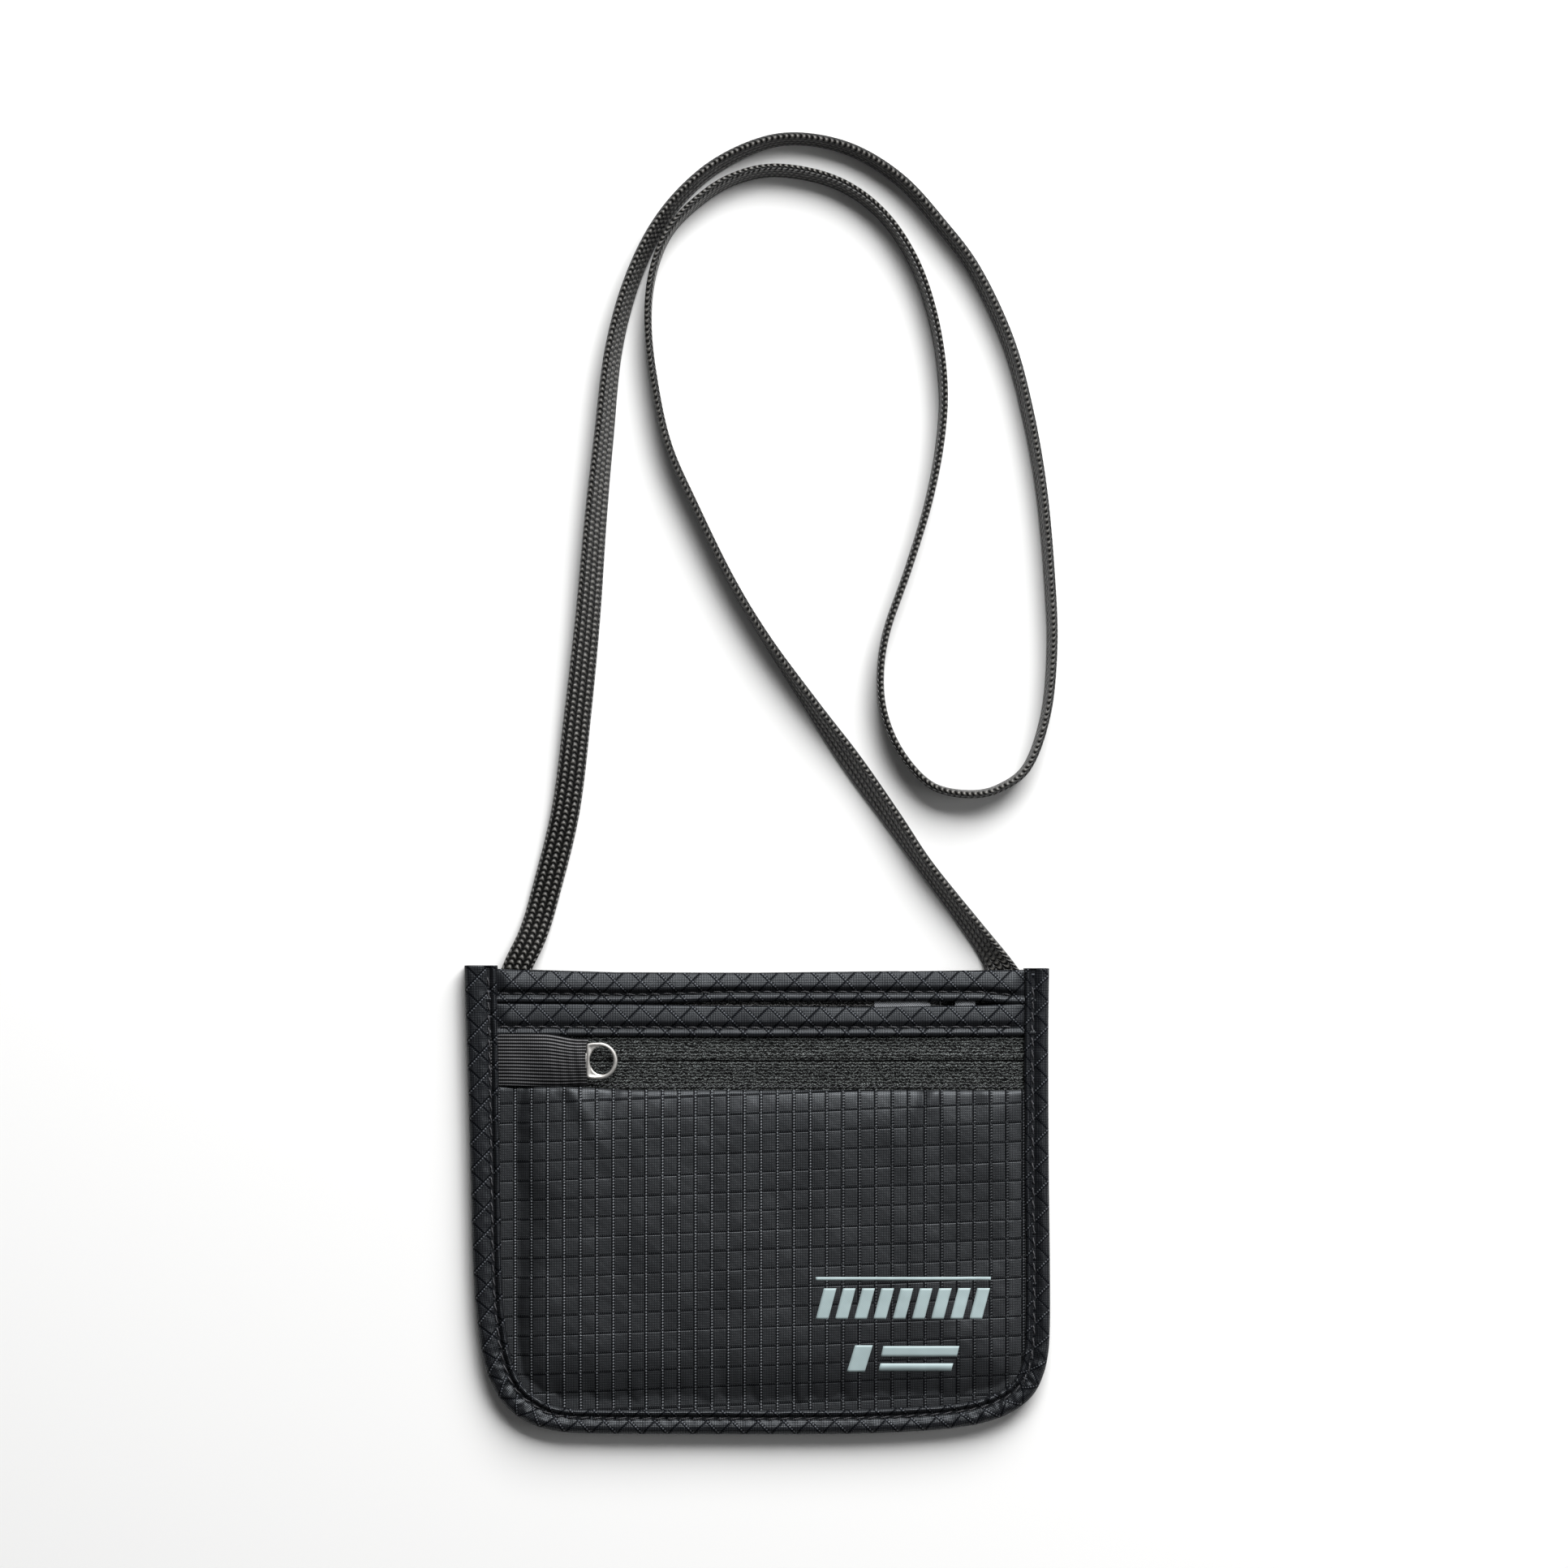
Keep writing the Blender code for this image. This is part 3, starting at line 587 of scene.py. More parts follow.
def build_studio():
    look_from_above()
    area_light("key", (0.45, 1.25, 0.95), (0.0, 0.1, 0.0), 1.2, 53.0)
    area_light("fill_right", (1.3, 0.0, 0.9), (0.0, 0.1, 0.0), 0.7, 2.6)
    area_light("fill_near", (0.1, -1.3, 0.9), (0.0, 0.1, 0.0), 0.7, 0.8)
    world = bpy.data.worlds.new("studio")
    world.use_nodes = True
    world.node_tree.nodes["Background"].inputs[0].default_value = (1.0, 1.0, 1.0, 1.0)
    world.node_tree.nodes["Background"].inputs[1].default_value = 0.06
    bpy.context.scene.world = world
    bpy.context.scene.view_settings.view_transform = "Standard"
    floor = Finish("floor_paint", (0.93, 0.93, 0.925), 0.7, specular=0.2)
    floor.tint(floor.cloud(3.0), (0.925, 0.925, 0.92), (0.935, 0.935, 0.93))
    half, z = 3000.0, -0.1
    points = np.array([(-half, -half, z), (half, -half, z), (half, half, z), (-half, half, z)])
    ground = make_mesh("floor", points, np.array([[0, 1, 2, 3]]), floor.made)


# ---------------------------------------------------------------- neck strap

STRAP_WIDTH = 7.1
STRAP_THICK = 1.75
SEAM_Z = 2.7
# The CAD strap's own route: X, Y, and the roll in degrees, 0 flat and 90 on edge.
STRAP_ROUTE = [
    (-60.5, 55.0, 0), (-58.8, 59.0, 0), (-55.5, 66.0, 0), (-52.5, 76.0, 2), (-47.5, 96.5, 10),
    (-44.5, 120.5, 22), (-42.0, 144.5, 34), (-40.0, 169.0, 46), (-38.0, 189.0, 55), (-35.5, 211.0, 62),
    (-30.5, 229.0, 66), (-23.0, 243.5, 70), (-12.5, 254.5, 73), (-0.5, 261.0, 76), (10.5, 262.8, 78),
    (23.5, 260.0, 78), (35.5, 252.5, 77), (45.5, 241.5, 76), (54.0, 230.0, 75), (62.0, 213.0, 75),
    (67.0, 195.0, 77), (70.5, 175.0, 79), (72.5, 152.5, 80), (73.0, 136.5, 81), (71.5, 120.5, 83),
    (67.0, 107.5, 85), (60.0, 102.0, 86), (52.5, 100.5, 86), (43.5, 102.5, 88), (36.5, 109.5, 89),
    (32.0, 118.5, 90), (30.5, 128.5, 90), (32.0, 140.5, 91), (37.5, 156.5, 91), (42.5, 173.0, 92),
    (45.5, 189.0, 94), (46.0, 203.0, 96), (43.5, 219.0, 98), (38.5, 233.0, 100), (30.5, 244.5, 101),
    (19.5, 252.0, 103), (5.5, 255.0, 104), (-5.5, 253.0, 102), (-14.5, 247.5, 99), (-22.0, 239.5, 95),
    (-26.0, 229.0, 92), (-27.0, 217.0, 90), (-25.5, 203.0, 90), (-22.0, 187.0, 89), (-15.5, 172.0, 88),
    (-6.5, 153.5, 86), (2.5, 138.5, 83), (13.5, 122.5, 68), (23.5, 108.5, 52), (33.5, 94.5, 58),
    (41.5, 83.0, 66), (51.5, 70.0, 58), (57.5, 62.0, 44), (61.0, 56.5, 12), (62.0, 55.0, 0),
]
STRAP_ROWS = 2300
STRAP_SIDES = 42


def build_neck_strap():
    """The braid: a flat tube with nine columns of arched stitches round it."""
    route = smooth_through(STRAP_ROUTE, STRAP_ROWS)
    x, y, roll = route[:, 0], route[:, 1], np.radians(route[:, 2])
    lift = step_up(74.0 - y, 0.0, 15.0)
    lying = STRAP_THICK / 2 + (STRAP_WIDTH - STRAP_THICK) / 2 * np.abs(np.sin(roll))
    z = (lying + 0.05) * (1 - lift) + np.maximum(SEAM_Z, lying) * lift
    centre = np.stack([x, y, z], axis=1)
    run = directions(centre)
    left = np.stack([-run[:, 1], run[:, 0], np.zeros(STRAP_ROWS)], axis=1)
    left /= np.linalg.norm(left, axis=1)[:, None]
    up = np.cross(run, left)
    wide = left * np.cos(roll)[:, None] + up * np.sin(roll)[:, None]
    thick = up * np.cos(roll)[:, None] - left * np.sin(roll)[:, None]
    flat = (STRAP_WIDTH - STRAP_THICK) / 2
    radius = STRAP_THICK / 2
    half_turn = math.pi * radius
    girth = 4 * flat + 2 * half_turn
    around = (np.arange(STRAP_SIDES) + 0.5) / STRAP_SIDES * girth
    a = np.empty((len(around), 2))
    n = np.empty((len(around), 2))
    for k, g in enumerate(around):
        if g < 2 * flat:
            a[k], n[k] = (g - flat, radius), (0, 1)
        elif g < 2 * flat + half_turn:
            t = math.pi / 2 - (g - 2 * flat) / radius
            a[k], n[k] = (flat + radius * math.cos(t), radius * math.sin(t)), (math.cos(t), math.sin(t))
        elif g < 4 * flat + half_turn:
            a[k], n[k] = (flat - (g - 2 * flat - half_turn), -radius), (0, -1)
        else:
            t = -math.pi / 2 - (g - 4 * flat - half_turn) / radius
            a[k], n[k] = (-flat + radius * math.cos(t), radius * math.sin(t)), (math.cos(t), math.sin(t))
    s = arc_lengths(centre)
    rib = 0.10 * np.abs(np.sin(math.pi * around / BRAID_COLUMN)) ** 0.6 - 0.08
    section = a + n * rib[:, None]
    rings = centre[:, None, :] + wide[:, None, :] * section[None, :, :1]
    rings = rings + thick[:, None, :] * section[None, :, 1:]
    rings[:, :, 2] = np.maximum(rings[:, :, 2], 0.02)
    layout = np.stack(np.broadcast_arrays(s[:, None], np.append(around, around[0] + girth)[None, :]), axis=-1)
    strap = turn_out(tube("neck_strap_braid", rings, BRAID, layout))
    place(strap, "pouch", "braid", "neck_strap")


# ---------------------------------------------------------------- front panel

PANEL_LOW = -57.1
STITCH_PITCH = 3.1
SEAM_IN = 2.2
BETWEEN_BINDINGS = (-64.0, 66.0)
BINDING_LEFT = -64.0
BINDING_FOOT = -51.5


def depth_inside(x, y):
    """Each point's distance inside the binding's inner edge, 0 under the binding."""
    flat = np.stack([np.ravel(x), np.ravel(y)], axis=1)
    path, width = OUTER[::3], OUTER_WIDTH[::3]
    best = np.full(len(flat), 1e9)
    for start in range(0, len(path), 40):
        part = slice(start, start + 40)
        gap = np.linalg.norm(flat[:, None, :] - path[None, part, :], axis=2) - width[None, part]
        best = np.minimum(best, gap.min(axis=1))
    return np.maximum(best, 0).reshape(np.shape(x))


def panel_top_edge(x):
    return np.interp(x, [-73.0, -42.0, -32.0, 73.0], [28.4, 28.0, 27.3, 27.3])


def ripstop_cells(u, v):
    """0 on the ripstop's thick threads, rising to 1 in the middle of each square."""
    return np.sqrt(np.abs(np.sin(math.pi * u / GRID_X) * np.sin(math.pi * v / GRID_Y)))


def on_ripstop(x, y):
    """Where a point of the front panel lies on its ripstop, whose grid starts off the middle and leans."""
    return x - 0.96, y - 0.04 * x - 2.5


def panel_height(x, y):
    """The front panel's upper surface. It swells, dips hard at the left and puckers into the bottom seam."""
    rim = depth_inside(x, y)
    edge_y = panel_top_edge(x)
    from_left = x - BINDING_LEFT
    from_low = y - BINDING_FOOT
    inside = step_up(rim, 0.0, 3.0)
    swell = 2.5 * (1 - np.exp(-rim / 5.5)) * (1 - 0.62 * np.exp(-(edge_y - y) / 5.0))
    reach = 6.5 + 3.5 * bell(y, -3.0, 9.0) + 1.2 * wander(3, y, 0.0, 14.0)
    hollow = -1.9 * np.exp(-(np.maximum(from_left, 0) / reach) ** 3)
    hollow = hollow - 1.5 * np.exp(-(np.maximum(from_low, 0) / 8.0) ** 2)
    fold = np.sin(x / 1.25 + 1.6 * wander(5, x, 0.0, 22.0))
    fold = fold + 0.6 * np.sin(x / 0.72 + 2.0 * wander(6, x, 0.0, 16.0))
    puckers = 0.42 * fold * np.exp(-np.maximum(from_low, 0) / 5.5)
    waves = np.sin(y / 1.5 + 1.8 * wander(12, y, 0.0, 20.0))
    puckers += 0.22 * waves * np.exp(-np.maximum(from_left, 0) / 4.0)
    right_crease = -0.8 * bell(x - 0.3 * (y + 10), 56.0, 4.0)
    right_crease = right_crease * step_up(y, -45, -20) * (1 - step_up(y, 18, 27))
    down = 27.0 - y
    top_fold = 0.0
    for height, lean, middle, spread, fade in (
            (0.8, -0.55, -46.0, 2.4, 9.0), (-0.8, 0.45, -36.5, 2.6, 9.0), (0.7, 0.35, 44.0, 2.2, 9.0),
            (-0.6, 0.35, 40.0, 2.4, 9.0), (0.55, -0.1, 57.0, 2.6, 10.0)):
        top_fold = top_fold + height * bell(x + lean * down, middle, spread) * np.exp(-down / fade)
    gathers = 0.10 * wander(8, x, y * 0.2, 9.0) * np.exp(-(edge_y - y) / 12.0)
    slack = 0.28 * wander(9, x, y, 38.0) + 0.08 * wander(11, x, y, 13.0)
    cells = 0.07 * ripstop_cells(*on_ripstop(x, y))
    shape = np.maximum(swell + hollow + puckers + right_crease + top_fold + gathers + slack, -0.15)
    lip = -0.55 * np.clip(1 - (edge_y - y) / 1.1, 0, 1) ** 2
    return FABRIC_TOP + 0.02 + shape * inside + cells * inside + lip


def panel_grid(columns, rows, low, top_line):
    """A grid that fills the pouch's outline below a top line."""
    outline = OUTER + OUTER_IN * 0.8
    lowest = np.argmin(outline[:, 1])
    left, right = outline[:lowest], outline[lowest:]
    t = np.linspace(0, 1, columns)
    grid = np.empty((rows, columns, 2))
    for row, share in enumerate(np.linspace(0, 1, rows)):
        guess = low + (top_line(0.0) - low) * share
        x0 = np.interp(guess, left[::-1, 1], left[::-1, 0])
        x1 = np.interp(guess, right[:, 1], right[:, 0])
        grid[row, :, 0] = x0 + (x1 - x0) * t
        grid[row, :, 1] = low + (top_line(grid[row, :, 0]) - low) * share
    return grid


def build_front_panel():
    grid = panel_grid(285, 172, PANEL_LOW, panel_top_edge)
    x, y = grid[..., 0], grid[..., 1]
    z = panel_height(x, y)
    uv = np.dstack(on_ripstop(x, y))
    panel = lay("front_panel_cloth", x, y, z, z - 0.28, RIPSTOP, uv, "ripstop", "front_panel")


# ---------------------------------------------------------------- binding, hem and band

def build_edge_binding():
    """The folded strip round the edge: a roll at its inner edge, a sunk seam, and a round outer fold."""
    s, width, one = OUTER_S[:, None], OUTER_WIDTH[:, None], np.ones((STATIONS, 1))
    corner = bell(s, 109.0, 17.0) + bell(s, 241.0, 17.0)
    share = np.concatenate([np.linspace(0, 0.12, 5), np.linspace(0.15, 1.0, 26)])
    inset = width * (1 - share)
    from_inner = width - inset
    seam = bell(from_inner, SEAM_IN, 0.55)
    roll = bell(from_inner, 0.85, 0.70)
    dimple = 0.5 + 0.5 * np.cos(TAU * s / STITCH_PITCH)
    z = BINDING_TOP - 0.40 + 0.62 * roll - 0.50 * seam * (0.7 + 0.3 * dimple)
    z += -0.75 * np.clip(1 - from_inner / 0.4, 0, 1) ** 2
    z += 0.55 * step_up(from_inner, 2.3, 4.6) - 0.35 * np.clip(1 - inset / 2.0, 0, 1) ** 1.5
    z += (0.07 * wander(21, s, from_inner * 2.0, 7.0)
          + 0.28 * corner * wander(22, s, from_inner * 0.7, 3.4, 3))
    z += 0.05 * np.sin(TAU * s / STITCH_PITCH + 1.2 * from_inner) * bell(from_inner, 3.2, 1.2)
    z -= 0.85 * np.clip(1 - inset / 1.3, 0, 1) ** 2
    turns = np.linspace(0.12, 0.88, 8) * math.pi
    half = (BINDING_TOP - 1.45) / 2
    back_inset = width * np.concatenate([np.linspace(0.03, 0.85, 12), np.linspace(0.88, 1.0, 4)])
    back_in = width - back_inset
    back_z = 0.16 * bell(back_in, SEAM_IN, 0.5) + 0.45 * np.clip(1 - back_inset / 1.0, 0, 1) ** 2
    back_z += 0.5 * np.clip(1 - back_in / 0.45, 0, 1) ** 2
    inner = width - 0.35
    inset_all = np.hstack([
        inset, one * (0.55 - 0.55 * np.sin(turns)), back_inset, inner, one * 0.75, one * 0.75, inner])
    z_all = np.hstack([
        z, one * (half + half * np.cos(turns)), back_z, one * 0.6, one * 0.7,
        one * (BINDING_TOP - 0.75), one * (BINDING_TOP - 0.6)])
    sway = 0.12 * wander(23, s, 0.0, 16.0) * np.clip(inset_all / width, 0, 1)
    flat = OUTER[:, None, :] + OUTER_IN[:, None, :] * (inset_all + sway)[:, :, None]
    rings = np.dstack([flat, z_all])
    rings[0, :, 1] = OUTER[0, 1]
    rings[-1, :, 1] = OUTER[-1, 1]
    cloth_v = np.hstack([inset, -one * np.linspace(0.4, 4.5, 8), -4.5 - back_inset, np.zeros((STATIONS, 4))])
    cloth_v = np.hstack([cloth_v, cloth_v[:, :1]])
    layout = np.dstack([np.broadcast_to(s, cloth_v.shape), cloth_v])
    piece = turn_out(tube("edge_binding_cloth", rings, BIAS, layout))
    place(piece, "pouch", "binding", "edge_binding")


def softened(edge):
    """A strip's edge, its CAD corners rounded off."""
    for _ in range(6):
        edge[1:-1] = (edge[:-2] + 2 * edge[1:-1] + edge[2:]) / 4
    return edge


def no_shift(x):
    return 0.0


def strip(name, node, finish, slot, profile, rows=30, low_shift=no_shift, high_shift=no_shift, thick=0.28):
    """A strip across the pouch between its CAD edges. profile gives its height by the distances to them."""
    low_edge, high_edge = edges_of(node)
    left = max(low_edge[0, 0], high_edge[0, 0])
    right = min(low_edge[-1, 0], high_edge[-1, 0])
    x = np.linspace(left, right, int((right - left) / 0.5))
    low = softened(np.interp(x, low_edge[:, 0], low_edge[:, 1])) + low_shift(x)
    high = softened(np.interp(x, high_edge[:, 0], high_edge[:, 1])) + high_shift(x)
    y = low + (high - low) * np.linspace(0, 1, rows)[:, None]
    grid_x = np.broadcast_to(x, y.shape)
    z = profile(grid_x, y - low, high - y)
    return lay(name, grid_x, y, z, z - thick, finish, np.dstack([grid_x, y]), slot, node)


def folded_strip(x, above, below, seed, puff):
    """A folded edge with a seam beside it, and a swollen face above them."""
    dimple = 0.5 + 0.5 * np.cos(TAU * x / STITCH_PITCH)
    z = FABRIC_TOP + 0.05 + 0.36 * bell(above, 0.85, 0.62)
    z = z - 0.1 * bell(above, SEAM_IN, 0.5) * (0.6 + 0.4 * dimple)
    ends = step_up(x, -65.5, -61.5) * (1 - step_up(x, 62.5, 67.0))
    z += puff(x) * ends * step_up(above, SEAM_IN, 3.9) * np.sin(np.clip(below / 5.0, 0, 1) * math.pi / 2)
    z -= 0.45 * np.clip(1 - above / 0.35, 0, 1) ** 2
    z -= 0.4 * np.clip(1 - below / 0.5, 0, 1) ** 2
    z += (0.05 * wander(seed, x, above, 12.0)
          + 0.03 * np.sin(TAU * x / STITCH_PITCH + above) * bell(above, 3.0, 1.0))
    return z


def mouth_open(x):
    """Where the slip pocket's mouth gapes: 0 closed, 1 open."""
    return step_up(x, -32.0, -5.0) * (1 - step_up(x, 54.0, 64.0))


def hem_drop(x):
    """How far the hem's low fold hangs from its CAD edge: down on the band, and up where the mouth gapes."""
    return -0.42 * (1 - mouth_open(x)) + 0.3 * mouth_open(x)


def build_strips():
    strip("top_hem_cloth", "top_hem", BIAS, "binding",
          lambda x, a, b: folded_strip(x, a, b, 31, lambda u: 1.25 + 0.3 * wander(32, u, 0.0, 60.0)),
          low_shift=hem_drop)
    strip("pocket_band_cloth", "pocket_band", BIAS, "binding",
          lambda x, a, b: folded_strip(x, a, b, 33, lambda u: 0.95 + 0.2 * wander(34, u, 0.0, 50.0)),
          high_shift=lambda x: 0.25 * (1 - mouth_open(x)))


# ---------------------------------------------------------------- zip, ribbon, slider and pull

def chain_line(x):
    """The line where the zip's two tapes meet."""
    return 0.12 * wander(41, x, 0.0, 26.0, 2)


def tape_profile(x, to_chain):
    """Tape rises over the coil behind it, and dips at the chain."""
    z = TAPE_TOP + 0.28 * step_up(3.2 - to_chain, 0.0, 1.4) - 0.25 * np.clip(1 - to_chain / 0.35, 0, 1) ** 2
    z += 0.08 * bell(to_chain, 1.15, 0.3) - 0.07 * bell(to_chain, 1.7, 0.3)
    return z + 0.04 * wander(42, x, to_chain, 8.0)


def build_zip():
    slot_half = ZIP_Y - box_mm("zip_tape_lower")[1][1]
    close = slot_half - 0.13
    strip("zip_tape_upper_knit", "zip_tape_upper", TAPE, "tape", lambda x, a, b: tape_profile(x, a),
          rows=34, low_shift=lambda x: chain_line(x) - close, thick=0.22)
    strip("zip_tape_lower_knit", "zip_tape_lower", TAPE, "tape", lambda x, a, b: tape_profile(x, b),
          rows=34, high_shift=lambda x: chain_line(x) + close, thick=0.22)
    for side, node in ((1, "zip_coil_upper"), (-1, "zip_coil_lower")):
        low, high = box_mm(node)
        turns = int((high[0] - low[0]) / 1.25)
        t = np.linspace(0, turns, turns * 10)
        middle_y, middle_z = (low[1] + high[1]) / 2, (low[2] + high[2]) / 2
        path = np.stack([
            low[0] + 0.3 + t / turns * (high[0] - low[0] - 0.6),
            middle_y + 0.42 * np.cos(TAU * t),
            middle_z + 0.18 * np.sin(TAU * t),
        ], axis=1)
        piece = wire(f"{node}_turns", path, 0.13, COIL)
        place(piece, "pouch", "coil", node)


def wire(name, path, radius, finish, sides=6):
    """A round wire along a path."""
    run = directions(path)
    side = np.cross(run, [0.0, 0.0, 1.0])
    side /= np.maximum(np.linalg.norm(side, axis=1), 1e-6)[:, None]
    up = np.cross(side, run)
    turn = np.arange(sides) / sides * TAU
    rings = path[:, None, :] + radius * (
        side[:, None, :] * np.cos(turn)[None, :, None] + up[:, None, :] * np.sin(turn)[None, :, None])
    return turn_out(tube(name, rings, finish))


def build_zip_garage():
    """The ribbon: ribs along its length, swollen over the slider, with a loosely cut end."""
    low, high = box_mm("zip_garage")
    end = high[0] + 2.2
    start = -66.0
    columns, rows = 110, 132
    t = np.linspace(0, 1, columns)[None, :]
    v = np.linspace(0, 1, rows)[:, None]
    x = start + (end - start) * t + 0 * v
    far = step_up(t, 0.0, 1.0)
    high_y = high[1] - 0.05 - 1.3 * step_up(x, -53.0, -44.0)
    low_y = low[1] + 0.35 - 0.3 * step_up(x, -62.0, -52.0) + 0.25 * step_up(x, -50.0, -43.0)
    y = low_y + (high_y - low_y) * v
    ragged = 0.22 * wander(51, y, 0.0, 1.6) + 0.5 * bell(v, 1.0, 0.08) - 0.5 * bell(v, 0.62, 0.3)
    x = x + ragged * far ** 6
    crown = np.clip(1 - (2 * v - 1.0) ** 2, 0, 1) * (0.80 + 0.15 * v)
    over_slider = step_up(x, -60.0, -50.0)
    z = FABRIC_TOP + 0.45 + 1.55 * crown ** 0.6 * over_slider + 0.25 * crown
    z += -0.75 * bell(x, -46.0, 3.2) * bell(v, 0.93, 0.11)
    z += 0.10 * wander(52, x, y, 9.0) - 0.5 * step_up(-x, 60.5, 65.0)
    z += 0.22 * bell(x, -47.0, 1.5) * bell(v, 0.93, 0.05)
    z += 0.09 * np.sin(TAU * x / 2.3 + 5.0 * v) * step_up(x, -54.0, -48.0)
    z += 0.35 * bell(v, 0.5, 0.3) * step_up(x, -46.5, -43.8)
    across = (high_y - low_y).mean() * v
    ribs = 0.17 * (np.abs(np.cos(math.pi * across / RIB_PITCH)) ** 0.7)
    z = z + ribs
    uv = np.dstack([x, across + 0 * x])
    piece = lay("zip_garage_ribbon", x, y, z, z - ribs - 0.25, RIBBON, uv, "ribbon", "zip_garage")
    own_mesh(piece)


def build_pull():
    """Cast ring with a raised rim round its outside and round its eye, a sunk web, and a bored root."""
    pivot = next(j for j in frame["joints"] if j["name"] == "puller_flip")["pos_m"]
    pivot = np.array(pivot) / MM
    low, high = box_mm("pull_ring")
    middle_y, middle_z = pivot[1], pivot[2]
    right = high[0]
    radius = (high[1] - low[1]) / 2
    centre_x = right - radius
    left = -42.35
    count = 120
    turn = np.linspace(0, TAU, count, endpoint=False)
    eye = np.stack([-38.5 + 2.9 * np.cos(turn), middle_y + 0.1 + 3.5 * np.sin(turn)], axis=1)
    outer = np.stack([centre_x + radius * np.cos(turn), middle_y + radius * np.sin(turn)], axis=1)
    for k in range(count):
        ray = np.array([math.cos(turn[k]), math.sin(turn[k])])
        if ray[0] < -0.25:
            scale = (left - centre_x) / ray[0]
            limit_y = radius - 0.4 * min(1.0, max(0.0, (-ray[0] - 0.25) / 0.5))
            reach = min(scale, limit_y / max(abs(ray[1]), 1e-6))
            outer[k] = (centre_x + ray[0] * reach, middle_y + ray[1] * reach)
    for _ in range(3):
        outer = (np.roll(outer, 1, 0) + 2 * outer + np.roll(outer, -1, 0)) / 4
    share = np.array([0.0, 0.04, 0.12, 0.22, 0.34, 0.46, 0.58, 0.7, 0.8, 0.9, 0.97, 1.0])
    across = np.linalg.norm(outer - eye, axis=1)[:, None]
    from_out = share[None, :] * across
    from_eye = across - from_out
    band = 1 - np.abs(2 * np.clip(from_out, 0, 1.15) / 1.15 - 1) ** 3
    half = 0.27 + 0.25 * band * np.clip(from_eye / 0.12, 0, 1) ** 0.5
    half *= np.clip(np.minimum(from_out, from_eye) / 0.12, 0.35, 1)
    flat = outer[:, None, :] + (eye - outer)[:, None, :] * share[None, :, None]
    top = np.dstack([flat, middle_z + half])
    bottom = np.dstack([flat, middle_z - half * 0.9])[:, ::-1]
    rings = np.concatenate([top, bottom], axis=1)
    ring = turn_out(make_mesh("pull_ring_cast", rings.reshape(-1, 3), ring_faces(*rings.shape[:2]), NICKEL))
    place(ring, "puller", "nickel", "pull_ring")
    root_half = 2.0
    turn = np.linspace(0, TAU, 28, endpoint=False)
    profile = [(0.36, -root_half), (0.48, -root_half), (0.6, -root_half + 0.12), (0.6, root_half - 0.12),
               (0.48, root_half), (0.36, root_half)]
    rings = np.array([
        [(pivot[0] + r * math.cos(a), middle_y + w, middle_z + r * math.sin(a)) for r, w in profile]
        for a in turn])
    root = turn_out(make_mesh("pull_root", rings.reshape(-1, 3), ring_faces(*rings.shape[:2]), NICKEL))
    root.data.set_sharp_from_angle(angle=math.radians(50))
    place(root, "puller", "nickel")
    x0, x1, y0, y1 = pivot[0] + 0.45, left + 0.5, middle_y - 1.9, middle_y + 1.9
    z0, z1 = middle_z - 0.4, middle_z + 0.4
    corners = [(x0, y0), (x1, y0), (x1, y1), (x0, y1)]
    points = [(x, y, z) for z in (z0, z1) for x, y in corners]
    faces = np.array([[3, 2, 1, 0], [4, 5, 6, 7], [0, 1, 5, 4], [1, 2, 6, 5], [2, 3, 7, 6], [3, 0, 4, 7]])
    neck = turn_out(make_mesh("pull_neck", points, faces, NICKEL))
    bevel(neck, 0.15)
    place(neck, "puller", "nickel")


def bevel(made, width_mm):
    modifier = made.modifiers.new("Soft edges", "BEVEL")
    modifier.width = width_mm * MM
    modifier.segments = 2
    modifier.limit_method = "ANGLE"
    modifier.angle_limit = math.radians(40)


# ---------------------------------------------------------------- seams

def stitches(name, path, height, pitch=STITCH_PITCH, thread=0.19, length=0.8, slant=0.0, arch=0.0):
    """A row of lock stitches: each is a short thread that dives into its needle holes."""
    s = arc_lengths(path)
    count = int(s[-1] / pitch)
    sides, rings_each = 6, 7
    points, faces = [], []
    for k in range(count):
        along = (np.linspace(-0.5, 0.5, rings_each) * length + k + 0.5) * pitch
        x = np.interp(along, s, path[:, 0])
        y = np.interp(along, s, path[:, 1])
        run = np.array([x[-1] - x[0], y[-1] - y[0]])
        run /= np.linalg.norm(run)
        side = np.array([-run[1], run[0]])
        t = np.linspace(-1, 1, rings_each)
        swing = slant * t + arch * (1 - t * t)
        x, y = x + side[0] * swing, y + side[1] * swing
        dive = -0.26 * np.abs(t) ** 3
        z = height + 0.12 + dive
        fat = thread * (1 - 0.45 * np.abs(t) ** 4)
        base = len(points)
        turn = np.arange(sides) / sides * TAU
        for q in range(rings_each):
            for a in turn:
                points.append((x[q] + side[0] * fat[q] * math.cos(a), y[q] + side[1] * fat[q] * math.cos(a),
                               z[q] + fat[q] * math.sin(a)))
        grid = quads(rings_each, sides, wrap=True, offset=base)
        faces += [tuple(f) for f in grid.tolist()]
        faces += [tuple(range(base, base + sides))[::-1],
                  tuple(range(base + (rings_each - 1) * sides, base + rings_each * sides))]
    return turn_out(make_mesh(name, points, np.array([faces[0]]), THREAD, None, faces[1:]))


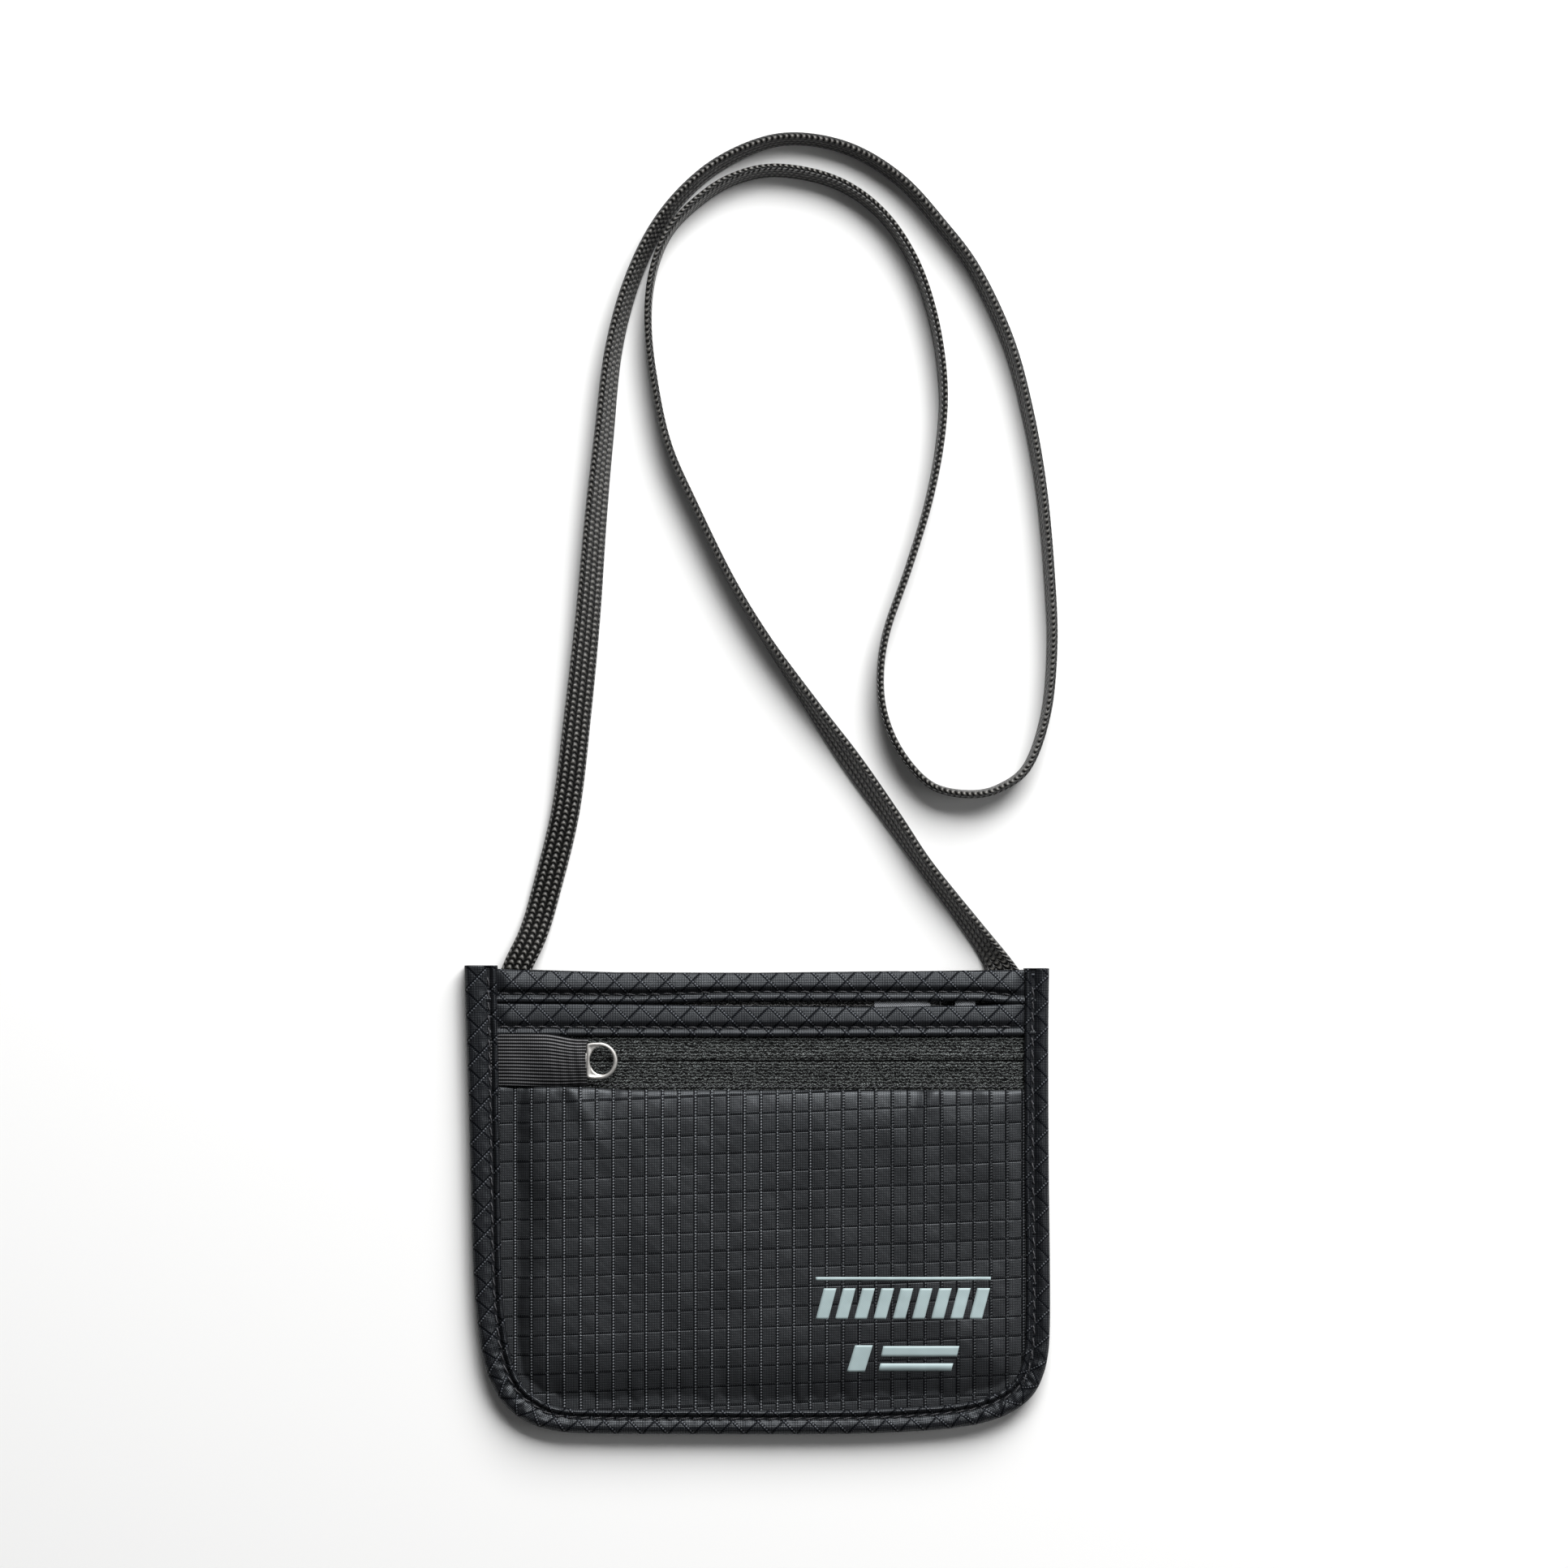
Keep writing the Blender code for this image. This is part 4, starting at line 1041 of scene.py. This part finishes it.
def build_seams():
    for node, strip_node in (("hem_stitching", "top_hem"), ("band_stitching", "pocket_band")):
        low = edges_of(strip_node)[0]
        x = np.linspace(*BETWEEN_BINDINGS, 300)
        y = softened(np.interp(x, low[:, 0], low[:, 1]))
        if strip_node == "top_hem":
            y = y + hem_drop(x)
        path = np.stack([x, y + SEAM_IN], axis=1)
        piece = stitches(f"{node}_threads", path, FABRIC_TOP + 0.06, slant=-0.08, arch=0.22)
        place(piece, "pouch", "thread", node)
    x = np.linspace(-44.0, BETWEEN_BINDINGS[1], 300)
    path = np.stack([x, panel_top_edge(x) + 0.75], axis=1)
    piece = stitches(
        "panel_fold_threads", path, TAPE_TOP + 0.1, pitch=1.6, thread=0.2, length=0.7, slant=0.28)
    place(piece, "pouch", "thread", "panel_fold_stitching")
    path = (OUTER + OUTER_IN * (OUTER_WIDTH - SEAM_IN)[:, None])[6:-6]
    piece = stitches("binding_threads", path, BINDING_TOP - 0.62, slant=0.2)
    place(piece, "pouch", "thread", "binding_stitching")
    place(stitches("binding_threads_behind", path, 0.12, thread=0.1), "pouch", "thread")


# ---------------------------------------------------------------- back, inside and prints

def build_back():
    def top_line(x):
        edge = edges_of("back_panel")[1]
        edge = edge[edge[:, 1] > 50]
        return np.interp(x, edge[:, 0], edge[:, 1])
    grid = panel_grid(200, 160, PANEL_LOW, top_line)
    x, y = grid[..., 0], grid[..., 1]
    rim = depth_inside(x, y)
    v = y - 0.01 * x
    cells = 0.06 * ripstop_cells(x, v)
    sag = (0.55 * (1 - np.exp(-rim / 6.0)) + 0.08 * wander(61, x, y, 30.0)) * step_up(rim, 0, 3)
    z = BACK_LOW + 0.1 - np.clip(sag + cells, -0.1, 0.78)
    piece = lay("back_panel_cloth", x, y, z + 0.25, z, RIPSTOP, np.dstack([x, v]), "ripstop", "back_panel")


def build_inside():
    """What shows through the slip pocket's mouth: a dark knit, and a grey label tape with a folded end."""
    low, high = box_mm("slip_pocket_lining")
    x, y = np.broadcast_arrays(np.linspace(*BETWEEN_BINDINGS, 260)[None, :],
                               np.linspace(high[1] - 7.0, high[1] - 1.0, 14)[:, None])
    lift = 2.5 + 0.25 * wander(71, x, y, 9.0) - 1.6 * step_up(x, 44.0, 48.0)
    z = low[2] + lift
    lay("slip_pocket_mesh", x, y, z, z - 0.2, KNIT_LINING, np.dstack([x, y]), "lining", "slip_pocket_lining")
    low, high = box_mm("inner_label")
    up = np.linspace(low[1], high[1], 24)[:, None]
    x, y = np.broadcast_arrays(np.linspace(low[0], high[0], 80)[None, :], up)
    z = high[2] + 0.35 + 0.25 * np.sin(x / 2.6) * step_up(x, 34, 42) - 0.5 * step_up(x, 43.0, 45.5)
    lay("label_tape", x, y, z, z - 0.15, LABEL, np.dstack([x, y]), "label", "inner_label")
    x, y = np.broadcast_arrays(np.linspace(49.0, 54.0, 30)[None, :], up)
    z = high[2] + 0.2 + 0.3 * np.cos((x - 51.5) * 0.6)
    lay("label_tail", x, y, z, z - 0.15, LABEL, np.dstack([x, y]), "label")


def patch(corners, spacing=0.5):
    """A thin printed shape that lies on the front panel, from the corners of a four-sided outline."""
    a, b, c, d = [np.array(p, float) for p in corners]
    columns = max(3, int(np.linalg.norm(b - a) / spacing))
    rows = max(3, int(np.linalg.norm(d - a) / spacing))
    t = np.linspace(0, 1, columns)[None, :, None]
    v = np.linspace(0, 1, rows)[:, None, None]
    flat = (a * (1 - t) + b * t) * (1 - v) + (d * (1 - t) + c * t) * v
    z = panel_height(flat[..., 0], flat[..., 1])
    return np.dstack([flat, z + 0.05]), np.dstack([flat, z - 0.05])


def build_prints():
    """Plain slanting bars and plain strips, where the pouch carries its printed marks."""
    shapes = []
    for k in range(9):
        x = 14.5 + k * 4.75
        shapes.append([(x, -29.3), (x + 3.1, -29.3), (x + 5.1, -21.7), (x + 2.0, -21.7)])
    shapes += [
        [(14.5, -19.7), (57.8, -19.7), (57.8, -18.9), (14.5, -18.9)],
        [(22.2, -42.4), (26.6, -42.4), (28.6, -35.8), (24.2, -35.8)],
        [(30.6, -38.6), (49.4, -38.6), (50.0, -36.0), (31.2, -36.0)],
        [(30.0, -42.2), (48.0, -42.2), (48.5, -40.3), (30.5, -40.3)],
    ]
    points, faces, offset = [], [], 0
    for corners in shapes:
        top, bottom = patch(corners)
        rows, columns, _ = top.shape
        faces.append(thick_faces(rows, columns, offset))
        points += [top.reshape(-1, 3), bottom.reshape(-1, 3)]
        offset += 2 * rows * columns
    piece = turn_out(make_mesh("front_print", np.vstack(points), np.vstack(faces), INK))
    place(piece, "pouch", "label")


def finish_cad_nodes():
    """CAD pieces whose shape is right keep it, and get their materials."""
    given = {
        "back_shield_liner": FOIL, "front_shield_liner": FOIL, "divider_panel": LINING,
        "zip_top_stop": PAINT, "zip_bottom_stop": PAINT, "slider_body": PAINT,
    }
    for node, finish in given.items():
        made = frame["nodes"][node]
        made.data.materials.clear()
        made.data.materials.append(finish)
    bevel(frame["nodes"]["slider_body"], 0.14)


def main():
    build_studio()
    build_neck_strap()
    build_back()
    build_inside()
    build_front_panel()
    build_edge_binding()
    build_strips()
    build_zip()
    build_zip_garage()
    build_pull()
    build_seams()
    build_prints()
    finish_cad_nodes()


main()
